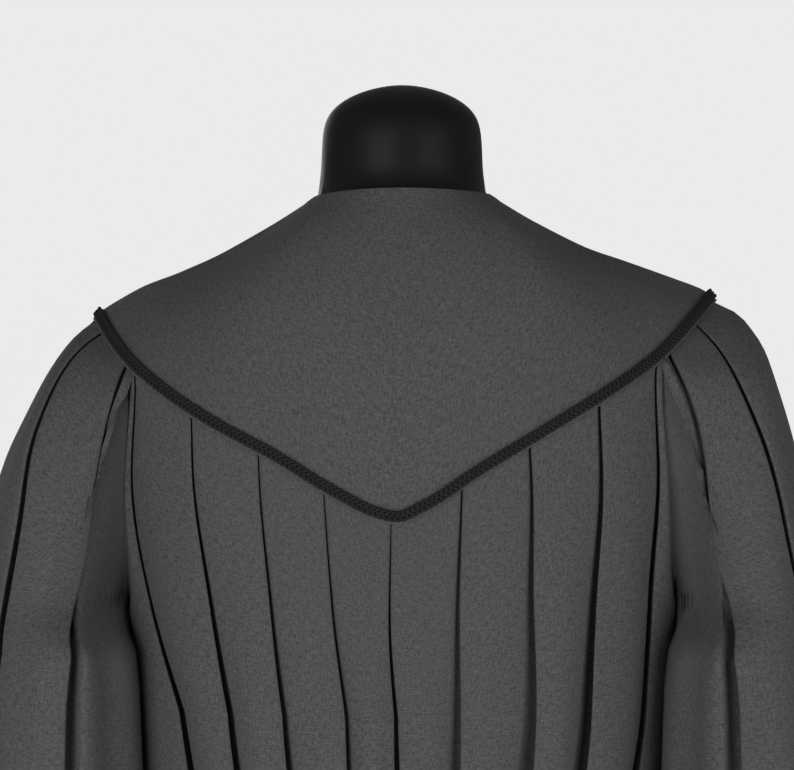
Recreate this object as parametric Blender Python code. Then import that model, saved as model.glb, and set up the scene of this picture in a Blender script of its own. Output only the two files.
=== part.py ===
"""Graduation gown on a limbless dress form, seen from its back along +Y, with +X its right side.

A pointed yoke, front and back, lies on the form's shoulders. Knife-pleated panels hang from its edge, and bell
sleeves are set under its tips. A braid covers the yoke's seam, and a zip closes the front. All sizes are metres.
"""

import math

import bmesh
import bpy
import numpy as np

# Cloth and seams
WALL = 0.0010
SEAM_GAP = 0.0004
LAP_DEPTH = 0.0018  # a panel's outer face under the yoke, below the yoke's outer face
SLEEVE_LAP_DEPTH = 0.0026
LAP_SHARE = 0.975  # where a panel's top lies on the way from the neckline to the yoke's edge

# Heights
HEM_Z = 0.200
CUFF_Z = 0.800
LEVEL_Z = 1.120  # from here down every row of cloth is level
ZIP_END_Z = 0.610

# The yoke's edge across the back, from the left tip over the point to the right tip
BACK_EDGE = (
    # x, y, z
    (-0.2318, 0.0000, 1.4070),
    (-0.2180, -0.0330, 1.3870),
    (-0.2020, -0.0610, 1.3690),
    (-0.1760, -0.0870, 1.3485),
    (-0.1397, -0.1120, 1.3255),
    (-0.0931, -0.1290, 1.3010),
    (-0.0473, -0.1370, 1.2740),
    (-0.0180, -0.1395, 1.2600),
    (-0.0029, -0.1400, 1.2570),
    (0.0140, -0.1393, 1.2640),
    (0.0558, -0.1360, 1.2904),
    (0.1017, -0.1265, 1.3176),
    (0.1483, -0.1075, 1.3455),
    (0.1890, -0.0760, 1.3730),
    (0.2198, -0.0370, 1.4030),
    (0.2363, 0.0000, 1.4208),
)
# The front yoke's edge, on the right from below the tip to the centre front; the left is its mirror
FRONT_EDGE = (
    # x, y, z
    (0.2170, 0.0310, 1.3910),
    (0.1980, 0.0580, 1.3710),
    (0.1600, 0.0880, 1.3480),
    (0.1000, 0.1130, 1.3230),
    (0.0500, 0.1235, 1.3020),
    (0.0045, 0.1270, 1.2840),
)
TIP_LIFT_FADE = (0.85, 0.60, 0.25, 0.05, 0.0, 0.0)  # how far the higher right tip lifts that edge
CENTRE_GAP = 0.0045  # half the gap between the fronts along the zip
CLOSED_GAP = 0.0003  # and below it, where they are sewn

# Neckline
NECK_HALF_WIDTH = 0.0660
NECK_BACK = 0.0690
NECK_FRONT = 0.0800
NECK_SIDE_Y = -0.0050
NECK_SIDE_Z = {"left": 1.4968, "right": 1.4990}
NECK_BACK_Z = 1.5013
NECK_FRONT_Z = 1.4530

# How far the shoulder line rises over the straight line from neckline to tip
SHOULDER_RISE = (
    # share, left, right
    (0.00, 0.0000, 0.0000),
    (0.20, -0.0030, -0.0045),
    (0.40, -0.0038, -0.0060),
    (0.60, -0.0010, -0.0025),
    (0.80, 0.0036, 0.0010),
    (0.93, 0.0028, 0.0028),
    (1.00, 0.0000, 0.0000),
)
# How the yoke rounds out over the back and over the chest
YOKE_CROWN = (
    # share, back out, back up, front out, front up
    (0.00, 0.000, 0.000, 0.000, 0.000),
    (0.25, 0.012, 0.010, 0.005, 0.004),
    (0.50, 0.017, 0.012, 0.008, 0.006),
    (0.75, 0.011, 0.007, 0.006, 0.004),
    (1.00, 0.000, 0.000, 0.000, 0.000),
)
YOKE_ROWS = (0.0, 0.12, 0.30, 0.50, 0.70, 0.86, 1.0)
SHOULDER_BLEND = 0.24  # the share of the edge over which the shoulder's line turns into the back's
CHEST_BLEND = 0.45
BACK_STEPS = 24
FRONT_STEPS = 10
POINT_ROW = 8  # the row of BACK_EDGE at the yoke's point

# The body's level sections, an oval with its own back and front depths
BODY = (
    # z, half width, back, front
    (0.20, 0.300, 0.255, 0.230),
    (0.45, 0.263, 0.217, 0.196),
    (0.70, 0.226, 0.182, 0.166),
    (0.90, 0.199, 0.158, 0.144),
    (1.02, 0.190, 0.150, 0.136),
    (1.12, 0.194, 0.148, 0.133),
    (1.20, 0.203, 0.145, 0.130),
    (1.28, 0.215, 0.140, 0.126),
    (1.37, 0.218, 0.133, 0.117),
    (1.42, 0.226, 0.120, 0.105),
)
OVAL = 2.3
UNDERARM_PLACE = 0.72  # the armhole's lowest point, on the way from the yoke's edge to LEVEL_Z

# A row's place is 0 at the yoke's edge, 1 at LEVEL_Z, and 2 at the hem or the cuff
UPPER_PLACES = (0.0, 0.10, 0.28, 0.50, 0.64, 0.72, 1.0, 1.13)
BACK_PLACES = (*UPPER_PLACES, 1.40, 1.70, 2.0)
FRONT_PLACES = (*UPPER_PLACES, 1.40, 1.556, 1.575, 2.0)  # the fronts close between two near rows
SLEEVE_PLACES = (0.0, 0.06, 0.14, 0.26, 0.43, 0.66, 0.86, 1.03, 1.20, 1.50, 2.0)
ARMHOLE_START = 0.03  # the sleeve's first row below its seam, where no yoke laps over it

# Where the panels end at the yoke's edge
BACK_CORNERS = {"left": -0.2020, "right": 0.1930}
FRONT_CORNER = 0.1960
# Knife pleats of the back. The upper layer lies on +X where the facing is 1, on -X where it is -1. At 0 two
# folded edges face each other, an inverted pleat. Room is the share of the full underlap at the yoke's edge.
BACK_PLEATS = (
    # facing, x at the edge, halfway, at LEVEL_Z, at the waist, at the hem, room, openness
    (-1, -0.1985, -0.1968, -0.1625, -0.148, -0.222, 0.30, 0.8),
    (-1, -0.1548, -0.1440, -0.1250, -0.113, -0.178, 1.00, 0.8),
    (-1, -0.1046, -0.0965, -0.0850, -0.076, -0.126, 1.00, 0.8),
    (-1, -0.0566, -0.0505, -0.0398, -0.036, -0.066, 1.00, 0.9),
    (0, -0.0080, -0.0090, -0.0045, -0.002, 0.000, 1.00, 1.2),
    (1, 0.0430, 0.0400, 0.0395, 0.037, 0.066, 1.00, 1.7),
    (1, 0.0924, 0.0930, 0.0930, 0.085, 0.126, 1.00, 2.0),
    (1, 0.1440, 0.1420, 0.1345, 0.122, 0.178, 1.00, 2.0),
    (1, 0.1880, 0.1870, 0.1795, 0.163, 0.224, 0.30, 1.4),
)
FRONT_PLEATS = (
    # facing, x at the edge, halfway, at LEVEL_Z, at the waist, at the hem, room, openness
    (1, 0.0460, 0.0430, 0.0400, 0.038, 0.072, 1.00, 1.0),
    (1, 0.0840, 0.0800, 0.0760, 0.072, 0.128, 1.00, 1.0),
    (1, 0.1240, 0.1190, 0.1130, 0.107, 0.182, 1.00, 1.0),
    (1, 0.1640, 0.1610, 0.1520, 0.142, 0.230, 0.90, 1.0),
)
WAIST_PLACE = 1.13
GUIDE_SAMPLES = 64  # points of a plain row from one pleat to the next
# How a pleat opens on its way down
PLEAT = (
    # drop below the yoke's edge, underlap, depth, pocket, mouth
    (0.00, 0.010, 0.0054, 0.0014, 0.0008),
    (0.12, 0.014, 0.0080, 0.0020, 0.0024),
    (0.24, 0.017, 0.0120, 0.0038, 0.0046),
    (0.60, 0.024, 0.0220, 0.0080, 0.0090),
    (1.15, 0.030, 0.0340, 0.0140, 0.0150),
)
LAYER_STEP = 0.0028  # upper layer's outer face to that of the layer under it
# How far the cloth between two pleats rounds out
PANEL_CROWN = (
    # place, out
    (0.0, 0.0000),
    (0.3, 0.0015),
    (1.0, 0.0050),
    (2.0, 0.0090),
)

# The sleeves' level sections; above the underarm they describe only what lies outside the armhole
SLEEVES = {
    "left": (
        # z, outer x, inner x, back y, front y, inner y
        (0.80, 0.374, 0.228, -0.140, 0.132, -0.040),
        (0.97, 0.357, 0.202, -0.124, 0.118, -0.060),
        (1.06, 0.3455, 0.1885, -0.116, 0.110, -0.064),
        (1.12, 0.338, 0.1903, -0.112, 0.106, -0.062),
        (1.16, 0.3300, 0.1952, -0.109, 0.103, -0.062),
        (1.18, 0.3260, 0.2048, -0.107, 0.101, -0.036),
        (1.20, 0.3222, 0.2076, -0.1055, 0.0995, -0.003),
        (1.22, 0.3185, 0.2074, -0.104, 0.098, 0.000),
        (1.30, 0.2965, 0.2140, -0.094, 0.089, 0.000),
        (1.34, 0.2780, 0.2190, -0.084, 0.080, 0.000),
        (1.37, 0.2625, 0.2200, -0.070, 0.067, 0.000),
        (1.39, 0.2495, 0.2200, -0.053, 0.051, 0.000),
        (1.407, 0.2325, 0.2200, -0.040, 0.039, 0.000),
        (1.42, 0.2200, 0.2180, -0.030, 0.030, 0.000),
    ),
    "right": (
        # the same columns
        (0.80, 0.364, 0.228, -0.138, 0.130, -0.040),
        (0.97, 0.347, 0.202, -0.122, 0.116, -0.060),
        (1.06, 0.334, 0.1885, -0.114, 0.108, -0.064),
        (1.12, 0.326, 0.1901, -0.110, 0.104, -0.062),
        (1.16, 0.3200, 0.1953, -0.107, 0.102, -0.062),
        (1.18, 0.3168, 0.2046, -0.106, 0.101, -0.036),
        (1.20, 0.3134, 0.2085, -0.104, 0.099, -0.003),
        (1.22, 0.3100, 0.2078, -0.102, 0.097, 0.000),
        (1.30, 0.2960, 0.2140, -0.092, 0.088, 0.000),
        (1.36, 0.2790, 0.2200, -0.080, 0.076, 0.000),
        (1.385, 0.2710, 0.2200, -0.062, 0.060, 0.000),
        (1.40, 0.2625, 0.2200, -0.050, 0.049, 0.000),
        (1.412, 0.2530, 0.2200, -0.040, 0.040, 0.000),
        (1.421, 0.2380, 0.2180, -0.030, 0.030, 0.000),
    ),
}
# Where the sleeve's angle round itself meets its seam: 0 to 1 on the yoke's edge, 1 to 2 on the armhole
SLEEVE_SEAM = (
    # angle from outermost, place on the seam
    (0.0, 0.00),
    (50.0, 0.26),
    (90.0, 0.66),
    (124.0, 1.00),
    (180.0, 2.00),
)
HEAD_FADE = 2.5  # how soon a sleeve's rows leave the shape of its seam, down its back
HEAD_ROLL = 22.0  # and how much sooner at its outermost
SLEEVE_KNOTS = (0.0, 0.18, 0.50, 1.0, 2.0)
# Knife pleats at the sleeve's head, on its back half; the front half mirrors them
SLEEVE_PLEATS = {
    "left": (
        # facing, angle at the seam, at the head, halfway, at LEVEL_Z, at the cuff, openness
        (1, 38.0, 48.0, 56.0, 56.0, 56.0, 3.5),
        (-1, 106.0, 116.0, 122.0, 108.0, 111.0, 4.5),
    ),
    "right": (
        # the same columns
        (-1, 67.0, 69.0, 60.0, 44.0, 38.0, 0.9),
        (-1, 110.0, 112.0, 121.0, 103.0, 106.0, 4.5),
    ),
}
SLEEVE_FOLD = (
    # place, underlap, depth, pocket, mouth
    (0.00, 0.0040, 0.0052, 0.0012, 0.0008),
    (0.25, 0.0075, 0.0095, 0.0018, 0.0016),
    (1.00, 0.0125, 0.0160, 0.0030, 0.0036),
    (2.00, 0.0140, 0.0120, 0.0036, 0.0050),
)
# Soft troughs and ridges of the sleeve
SLEEVE_WAVES = (
    # angle, half width, out at the seam, at LEVEL_Z, at the cuff
    (146.0, 17.0, 0.0, -0.0150, -0.0120),
    (80.0, 16.0, 0.0, 0.0050, 0.0110),
    (22.0, 12.0, 0.0, 0.0030, 0.0080),
    (180.0, 14.0, -0.0019, 0.0000, 0.0000),
)
SLEEVE_FRONT_RIDGE = (
    # place, out: a soft ridge of the front half beside the body
    (0.0, 0.000),
    (0.5, 0.014),
    (0.8, 0.015),
    (1.0, 0.011),
    (2.0, 0.000),
)
RIDGE_ANGLE = 222.0
RIDGE_HALF_WIDTH = 11.0
SLEEVE_STRETCHES = (3, 7, 3, 4)  # points between the pleats, round the ring
SLEEVE_SAMPLES = 1441

# Braid
BRAID_WIDTH = 0.0080
BRAID_THICK = 0.0038
BRAID_INSET = 0.0053  # its middle, above the yoke's edge
# Across the braid, as shares of its half width and its thickness
BRAID_SECTION = ((-1.0, 0.0), (-0.85, 0.65), (0.0, 1.0), (0.85, 0.65), (1.0, 0.0))

# Zip
ZIP_TOP_SHARE = 0.03
TAPE_DEPTH = 0.0016  # tape's outer face below the front's outer face
TAPE_HALF_WIDTH = 0.0140
TAPE_THICK = 0.0008
CHAIN_HALF_WIDTH = 0.0025
CHAIN_THICK = 0.0020
SLIDER_PLACES = (0.10, 0.29)  # its top end and the tab's, on the way down the centre front yoke
# The slider and its tab, in places across, down the front and out of it
SLIDER_PLATE = ((-0.0037, 0.0, 0.0), (0.0037, 0.0120, 0.0014))
STRAP_HALF_WIDTH = 0.0010
STRAP_PROFILE = ((0.0016, 0.0010), (0.0022, 0.0047), (0.0106, 0.0047), (0.0112, 0.0010))
STRAP_HOLE = ((0.0032, 0.0017), (0.0034, 0.0038), (0.0095, 0.0038), (0.0097, 0.0017))
PIVOT = (0.0083, 0.0027)  # down and out
TAB_THICK = 0.0010
TAB_WINDOW = ((-0.0015, 0.0005), (0.0015, 0.0055))
TAB_HALF_WIDTH = 0.0029
TAB_LENGTH = 0.0300

# Dress form
FORM_CHEST_HOLLOW = 0.0060  # and how much further the form lies below the zip
FORM_NECK_HALF_WIDTH = 0.0602
FORM_NECK = (
    # z, grows by
    (1.5470, 0.0000),
    (1.5180, 0.0004),
    (1.5080, 0.0022),
)
FORM_DOME_HEIGHT = 0.0350
FORM_DOME_TURNS = (80.0, 62.0, 42.0, 22.0)
FORM_NECK_Y = 0.0030
# The form under the yoke, down from its neckline
FORM_SHOULDERS = (
    # place on the yoke, depth below its inner face
    (0.00, 0.0045),
    (0.12, 0.0010),
    (0.30, 0.0010),
    (0.50, 0.0010),
    (0.70, 0.0070),
    (0.86, 0.0190),
)
FORM_BODY = (
    # z, half width, back, front
    (1.20, 0.168, 0.114, 0.108),
    (1.08, 0.150, 0.102, 0.100),
    (0.92, 0.176, 0.124, 0.114),
    (0.80, 0.170, 0.118, 0.112),
)
FORM_BLEND = 0.45  # the ring between the yoke's and the chest's
FRONT_TURN_STEP = 0.02  # keeps the two points at the centre front apart
POLE_RADIUS = 0.0160
BASE_PROFILE = (
    # radius, z
    (0.1900, 0.0000),
    (0.1900, 0.0080),
    (0.1860, 0.0110),
    (0.0340, 0.0160),
    (0.0260, 0.0260),
    (0.0240, 0.0600),
)
ROUND_SIDES = 32
TOUCH_GAP = 0.0003

CHARCOAL = (0.060, 0.060, 0.061, 1.0)
BRAID_BLACK = (0.012, 0.012, 0.013, 1.0)
GLOSS_BLACK = (0.010, 0.010, 0.011, 1.0)
SATIN_STEEL = (0.45, 0.45, 0.46, 1.0)
TAPE_BLACK = (0.030, 0.030, 0.031, 1.0)
STAND_BLACK = (0.030, 0.030, 0.031, 1.0)


# Curves and tables
def level_slopes(knots, values):
    """The slope at each row of a table, level at a peak, so that the curve never swings past its rows."""
    rises = np.diff(values, axis=0) / np.diff(knots)[:, None]
    before, after = rises[:-1], rises[1:]
    total = np.where(before + after == 0, 1.0, before + after)
    inner = np.where(before * after > 0, 2 * before * after / total, 0.0)
    return np.vstack([rises[:1], inner, rises[-1:]])


def flowing_slopes(knots, values):
    """The slope at each row of a table that a smooth curve through its neighbours has."""
    return np.gradient(values, knots, axis=0)


def read_curve(table, at, slopes=level_slopes):
    """The columns of a table after its first, at any place along the first, on a smooth curve."""
    table = np.asarray(table, float)
    knots, values = table[:, 0], table[:, 1:]
    at = np.clip(np.asarray(at, float), knots[0], knots[-1])
    low = np.clip(np.searchsorted(knots, at, side="right") - 1, 0, len(knots) - 2)
    width = (knots[low + 1] - knots[low])[..., None]
    share = (at - knots[low])[..., None] / width
    lean = slopes(knots, values)
    return (
        (2 * share**3 - 3 * share**2 + 1) * values[low]
        + (share**3 - 2 * share**2 + share) * width * lean[low]
        + (3 * share**2 - 2 * share**3) * values[low + 1]
        + (share**3 - share**2) * width * lean[low + 1]
    )


def ease(share):
    share = np.clip(share, 0.0, 1.0)
    return share * share * (3 - 2 * share)


def unit(vectors):
    return vectors / np.maximum(np.linalg.norm(vectors, axis=-1, keepdims=True), 1e-12)


def run_lengths(points):
    return np.concatenate([[0.0], np.cumsum(np.linalg.norm(np.diff(points, axis=0), axis=-1))])


def along(points, share):
    """Points at given shares of a polyline's length."""
    places = run_lengths(points)
    at = np.asarray(share, float) * places[-1]
    return np.stack([np.interp(at, places, points[:, axis]) for axis in range(3)], axis=-1)


# The yoke
def side_sign(side):
    return -1.0 if side == "left" else 1.0


def front_edge_rows(side):
    tip = BACK_EDGE[0] if side == "left" else BACK_EDGE[-1]
    lift = tip[2] - BACK_EDGE[0][2]
    rows = [tip]
    rows += [(side_sign(side) * x, y, z + lift * fade) for (x, y, z), fade in zip(FRONT_EDGE, TIP_LIFT_FADE)]
    return rows


def edge_table(rows):
    points = np.array(rows, float)
    places = run_lengths(points)
    return np.column_stack([places / places[-1], points])


EDGES = {
    "back": edge_table(BACK_EDGE),
    "left": edge_table(front_edge_rows("left")),
    "right": edge_table(front_edge_rows("right")),
}


def yoke_edge(part, across):
    return read_curve(EDGES[part], across, flowing_slopes)


def neckline(part, across):
    """The neckline across the back from left to right, or from a shoulder to the centre front."""
    if part == "back":
        turn = np.pi * across
        side_z = NECK_SIDE_Z["left"] + (NECK_SIDE_Z["right"] - NECK_SIDE_Z["left"]) * across
        x = -NECK_HALF_WIDTH * np.cos(turn)
        y = NECK_SIDE_Y - (NECK_BACK + NECK_SIDE_Y) * np.sin(turn)
        z = side_z + (NECK_BACK_Z - side_z) * np.sin(turn) ** 2
    else:
        turn = 0.5 * np.pi * across
        x = side_sign(part) * (CENTRE_GAP + (NECK_HALF_WIDTH - CENTRE_GAP) * np.cos(turn))
        y = NECK_SIDE_Y + (NECK_FRONT - NECK_SIDE_Y) * np.sin(turn)
        z = NECK_SIDE_Z[part] - (NECK_SIDE_Z[part] - NECK_FRONT_Z) * across**1.6
    return np.stack([x, y, z], axis=-1)


def yoke_surface(part, across, down):
    """The yoke's outer face: across runs along its edge, and down from the neckline to the edge."""
    across, down = np.broadcast_arrays(np.asarray(across, float), np.asarray(down, float))
    start, end = neckline(part, across), yoke_edge(part, across)
    rise = read_curve(SHOULDER_RISE, down)
    crown = read_curve(YOKE_CROWN, down, flowing_slopes)
    point = start + (end - start) * down[..., None]
    if part == "back":
        blend = ease(np.minimum(across, 1 - across) / SHOULDER_BLEND)
        side_rise = np.where(across < 0.5, rise[..., 0], rise[..., 1])
        out, up = -crown[..., 0], crown[..., 1]
    else:
        blend = ease(across / CHEST_BLEND)
        side_rise = rise[..., 0] if part == "left" else rise[..., 1]
        out, up = crown[..., 2], crown[..., 3]
    point[..., 1] += blend * out
    point[..., 2] += blend * up + (1 - blend) * side_rise
    return point


def yoke_normal(part, across, down):
    """The outward normal of the yoke, level along X at the shoulder seams and along Y at the centre front."""
    across, down = np.broadcast_arrays(np.asarray(across, float), np.asarray(down, float))
    step = 0.004
    low, high = np.clip(across - step, 0, 1), np.clip(across + step, 0, 1)
    top, foot = np.clip(down - step, 0, 1), np.clip(down + step, 0, 1)
    sideways = yoke_surface(part, high, down) - yoke_surface(part, low, down)
    downwards = yoke_surface(part, across, foot) - yoke_surface(part, across, top)
    normal = unit(np.cross(sideways, downwards))
    middle = np.array([0.0, 0.0, 1.25])
    facing = np.sign(((yoke_surface(part, across, down) - middle) * normal).sum(-1))[..., None]
    normal = normal * facing
    shoulder = across < 1e-6
    if part == "back":
        shoulder = shoulder | (across > 1 - 1e-6)
    else:
        normal[..., 0] = np.where(across > 1 - 1e-6, 0.0, normal[..., 0])
    normal[..., 1] = np.where(shoulder, 0.0, normal[..., 1])
    return unit(normal)


def shoulder_gap(part, across):
    """The move along Y that opens the shoulder seam between the back yoke and the front yokes."""
    toward = -1.0 if part == "back" else 1.0
    ends = (across < 1e-6) | ((part == "back") & (across > 1 - 1e-6))
    return toward * 0.5 * SEAM_GAP * ends


def across_at(part, x):
    """How far along the yoke's edge a given X lies."""
    across = np.linspace(0, 1, 801)
    edge = yoke_edge(part, across)[:, 0]
    order = np.argsort(edge)
    return np.interp(x, edge[order], across[order])


# Walls
def grid_normals(grid, closed=False):
    """The normal at each point of a grid, from the faces round it."""
    if closed:
        wide = np.concatenate([grid[:, -1:], grid, grid[:, :1]], axis=1)
    else:
        wide = np.concatenate([2 * grid[:, :1] - grid[:, 1:2], grid, 2 * grid[:, -1:] - grid[:, -2:-1]], axis=1)
    tall = np.concatenate([2 * wide[:1] - wide[1:2], wide, 2 * wide[-1:] - wide[-2:-1]], axis=0)
    faces = unit(np.cross(tall[1:, 1:] - tall[:-1, :-1], tall[1:, :-1] - tall[:-1, 1:]))
    return unit(faces[:-1, :-1] + faces[1:, :-1] + faces[:-1, 1:] + faces[1:, 1:])


def make_material(name, colour, roughness, metallic=0.0):
    made = bpy.data.materials.get(name) or bpy.data.materials.new(name)
    made.use_nodes = True
    shader = made.node_tree.nodes["Principled BSDF"]
    shader.inputs["Base Color"].default_value = colour
    shader.inputs["Roughness"].default_value = roughness
    shader.inputs["Metallic"].default_value = metallic
    return made


def add_solid(name, points, faces, finish):
    """One closed mesh object from points and faces, turned to face outwards."""
    mesh = bpy.data.meshes.new(name)
    mesh.from_pydata([tuple(point) for point in points], [], [tuple(face) for face in faces])
    work = bmesh.new()
    work.from_mesh(mesh)
    bmesh.ops.recalc_face_normals(work, faces=work.faces)
    if work.calc_volume(signed=True) < 0:
        bmesh.ops.reverse_faces(work, faces=work.faces)
    work.to_mesh(mesh)
    work.free()
    mesh.materials.append(finish)
    mesh.shade_smooth()
    mesh.set_sharp_from_angle(angle=math.radians(40))
    solid = bpy.data.objects.new(name, mesh)
    bpy.context.scene.collection.objects.link(solid)
    return solid


def grid_faces(rows, columns, start, closed):
    """Triangles of a grid, every square cut along the same diagonal."""
    faces = []
    for row in range(rows - 1):
        for place in range(columns if closed else columns - 1):
            corner = start + row * columns + place
            beside = start + row * columns + (place + 1) % columns
            faces.append((corner, beside, beside + columns))
            faces.append((corner, beside + columns, corner + columns))
    return faces


def cloth_wall(name, outer, normals, finish, closed=False, thickness=WALL):
    """A wall between a grid of outer points and the same points moved in by the cloth's thickness."""
    rows, columns = outer.shape[:2]
    inner = outer - normals * thickness
    points = np.concatenate([outer.reshape(-1, 3), inner.reshape(-1, 3)])
    count = rows * columns
    faces = grid_faces(rows, columns, 0, closed)
    faces += [face[::-1] for face in grid_faces(rows, columns, count, closed)]
    for start in (0, (rows - 1) * columns):
        for place in range(columns if closed else columns - 1):
            first, second = start + place, start + (place + 1) % columns
            faces.append((first, first + count, second + count, second))
    if not closed:
        for place in (0, columns - 1):
            for row in range(rows - 1):
                first = row * columns + place
                faces.append((first, first + columns, first + columns + count, first + count))
    return add_solid(name, points, faces, finish)


# Folds
def knife_pleat(underlap, depth, pocket, mouth):
    """A knife pleat across the cloth, whose upper layer lies on +, as places along the cloth and out of it."""
    half = mouth / 2
    floor = -depth - 0.25 * underlap
    return [
        (-half - 0.0022, -0.0008 - 0.08 * depth),
        (-half, -0.45 * depth),
        (0.0006 - half * 0.4, -depth),
        (underlap, floor),
        (underlap + 0.1 * pocket, floor + pocket),
        (half + 0.0012, -LAYER_STEP - 0.1 * (depth - 0.005)),
        (half - 0.0006, -LAYER_STEP / 2),
        (half + 0.0014, 0.0),
    ]


def pleat_profile(facing, sizes):
    pleat = knife_pleat(*sizes)
    mirrored = [(-at, out) for at, out in reversed(pleat)]
    if facing > 0:
        return np.array(pleat)
    if facing < 0:
        return np.array(mirrored)
    middle = (0.0, pleat[3][1] - 0.001)
    return np.array(mirrored[:5] + [middle] + pleat[3:])


def folded_row(base, lean, places, folds, crown, stretches, closed=False):
    """A row of cloth points along a base row, with each pleat's layers and points on the stretches between.

    folds holds (place along the row, profile) in order. stretches holds how many points lie between two pleats.
    """
    at, out = [], []
    length = places[-1]

    def add_stretch(start, end, count):
        for share in np.arange(1, count + 1) / (count + 1):
            at.append(start[0] + (end[0] - start[0]) * share)
            out.append(start[1] + (end[1] - start[1]) * share + crown * math.sin(math.pi * share))

    ends = [(place + profile[0, 0], profile[0, 1]) for place, profile in folds]
    starts = [(place + profile[-1, 0], profile[-1, 1]) for place, profile in folds]
    if not closed:
        at.append(0.0)
        out.append(0.0)
        add_stretch((0.0, 0.0), ends[0], stretches[0])
    for number, (place, profile) in enumerate(folds):
        at.extend(place + profile[:, 0])
        out.extend(profile[:, 1])
        if number + 1 < len(folds):
            add_stretch(starts[number], ends[number + 1], stretches[number + (not closed)])
    if closed:
        add_stretch(starts[-1], (ends[0][0] + length, ends[0][1]), stretches[-1])
    else:
        add_stretch(starts[-1], (length, 0.0), stretches[-1])
        at.append(length)
        out.append(0.0)
    where = np.array(at) % length if closed else np.array(at)
    points = np.stack([np.interp(where, places, base[:, axis]) for axis in range(3)], axis=1)
    normals = unit(np.stack([np.interp(where, places, lean[:, axis]) for axis in range(3)], axis=1))
    return points + normals * np.array(out)[:, None]


# The body panels
def body_oval(angle, height, front):
    """A point of the body's plain outline, at an angle from the centre back or the centre front."""
    width, back, chest = np.moveaxis(read_curve(BODY, height, flowing_slopes), -1, 0)
    turn = np.radians(np.clip(angle, -90, 90))
    x = width * np.sign(turn) * np.abs(np.sin(turn)) ** (2 / OVAL)
    y = (chest if front else -back) * np.abs(np.cos(turn)) ** (2 / OVAL)
    return np.stack([x, y, height + 0 * x], axis=-1)


def angle_of(x, height):
    width = read_curve(BODY, height, flowing_slopes)[..., 0]
    return np.degrees(np.sign(x) * np.arcsin(np.clip(np.abs(x) / width, 0, 1) ** (OVAL / 2)))


def armhole_angle(corner, place):
    """The armhole's angle round the body: it leaves the yoke's edge upright and is round at the underarm."""
    share = np.clip(place / UNDERARM_PLACE, 0, 1)
    side = math.copysign(90.0, corner)
    return corner + (side - corner) * (1 - math.sqrt(1 - share**2))


def height_at(edge_z, place, end_z):
    if place <= 1:
        return edge_z + (LEVEL_Z - edge_z) * place
    return LEVEL_Z + (end_z - LEVEL_Z) * (place - 1) + 0 * edge_z


def centre_gap(height):
    """Half the gap at the centre front, open along the zip and closed below it."""
    return CENTRE_GAP if height > ZIP_END_Z - CENTRE_GAP else CLOSED_GAP


def make_panel(part, pleats, left_x, right_x):
    """What a panel's rows need: its guides at the yoke's edge and the angles that they follow down."""
    guide_x = np.array([left_x] + [pleat[1] for pleat in pleats] + [right_x])
    marks = np.arange(len(guide_x), dtype=float)
    dense = np.linspace(0, marks[-1], GUIDE_SAMPLES * (len(marks) - 1) + 1)
    edge_x = read_curve(np.column_stack([marks, guide_x]), dense)[:, 0]
    across = across_at(part, edge_x)
    edge = yoke_surface(part, across, 1.0)
    lap = yoke_surface(part, across, LAP_SHARE) - LAP_DEPTH * yoke_normal(part, across, LAP_SHARE)
    front = part != "back"
    plain = body_oval(angle_of(edge[:, 0], edge[:, 2]), edge[:, 2], front)
    offset = edge - LAP_DEPTH * yoke_normal(part, across, 1.0) - plain
    return {
        "part": part,
        "front": front,
        "pleats": pleats,
        "marks": marks,
        "dense": dense,
        "edge": edge,
        "lap": lap,
        "offset": offset,
        "guides": [edge[GUIDE_SAMPLES * number] for number in range(len(marks))],
    }


def side_angle(panel, guide, place):
    """The angle of a panel's side: an armhole and side seam, or the centre front."""
    x, _, z = guide
    if panel["front"] and abs(x) < 0.01:
        height = height_at(z, place, HEM_Z)
        return float(angle_of(math.copysign(centre_gap(height), x), height))
    return armhole_angle(float(angle_of(x, z)), place)


def guide_angles(panel, place):
    guides = panel["guides"]
    angles = [side_angle(panel, guides[0], place)]
    for (_, _, half_x, level_x, waist_x, hem_x, _, _), (x, _, z) in zip(panel["pleats"], guides[1:-1]):
        table = [
            (0.0, angle_of(x, z)),
            (0.5, angle_of(half_x, (z + LEVEL_Z) / 2)),
            (1.0, angle_of(level_x, LEVEL_Z)),
            (WAIST_PLACE, angle_of(waist_x, height_at(z, WAIST_PLACE, HEM_Z))),
            (2.0, angle_of(hem_x, HEM_Z)),
        ]
        angles.append(float(read_curve(table, place)[0]))
    angles.append(side_angle(panel, guides[-1], place))
    return np.array(angles)


def panel_base(panel, place):
    """A panel's plain row, before its pleats."""
    if place == 0:
        return panel["lap"]
    angles = read_curve(np.column_stack([panel["marks"], guide_angles(panel, place)]), panel["dense"])[:, 0]
    heights = height_at(panel["edge"][:, 2], place, HEM_Z)
    fade = max(0.0, 1 - place) ** 2
    return body_oval(angles, heights, panel["front"]) + panel["offset"] * fade


def row_normals(base, below, above):
    """Outward normals of a plain row, from its own run and the rows beside it."""
    normals = unit(np.cross(np.gradient(base, axis=0), below - above))
    out = base * np.array([1.0, 1.0, 0.0])
    return normals * np.sign((normals * out).sum(-1, keepdims=True).sum())


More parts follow.
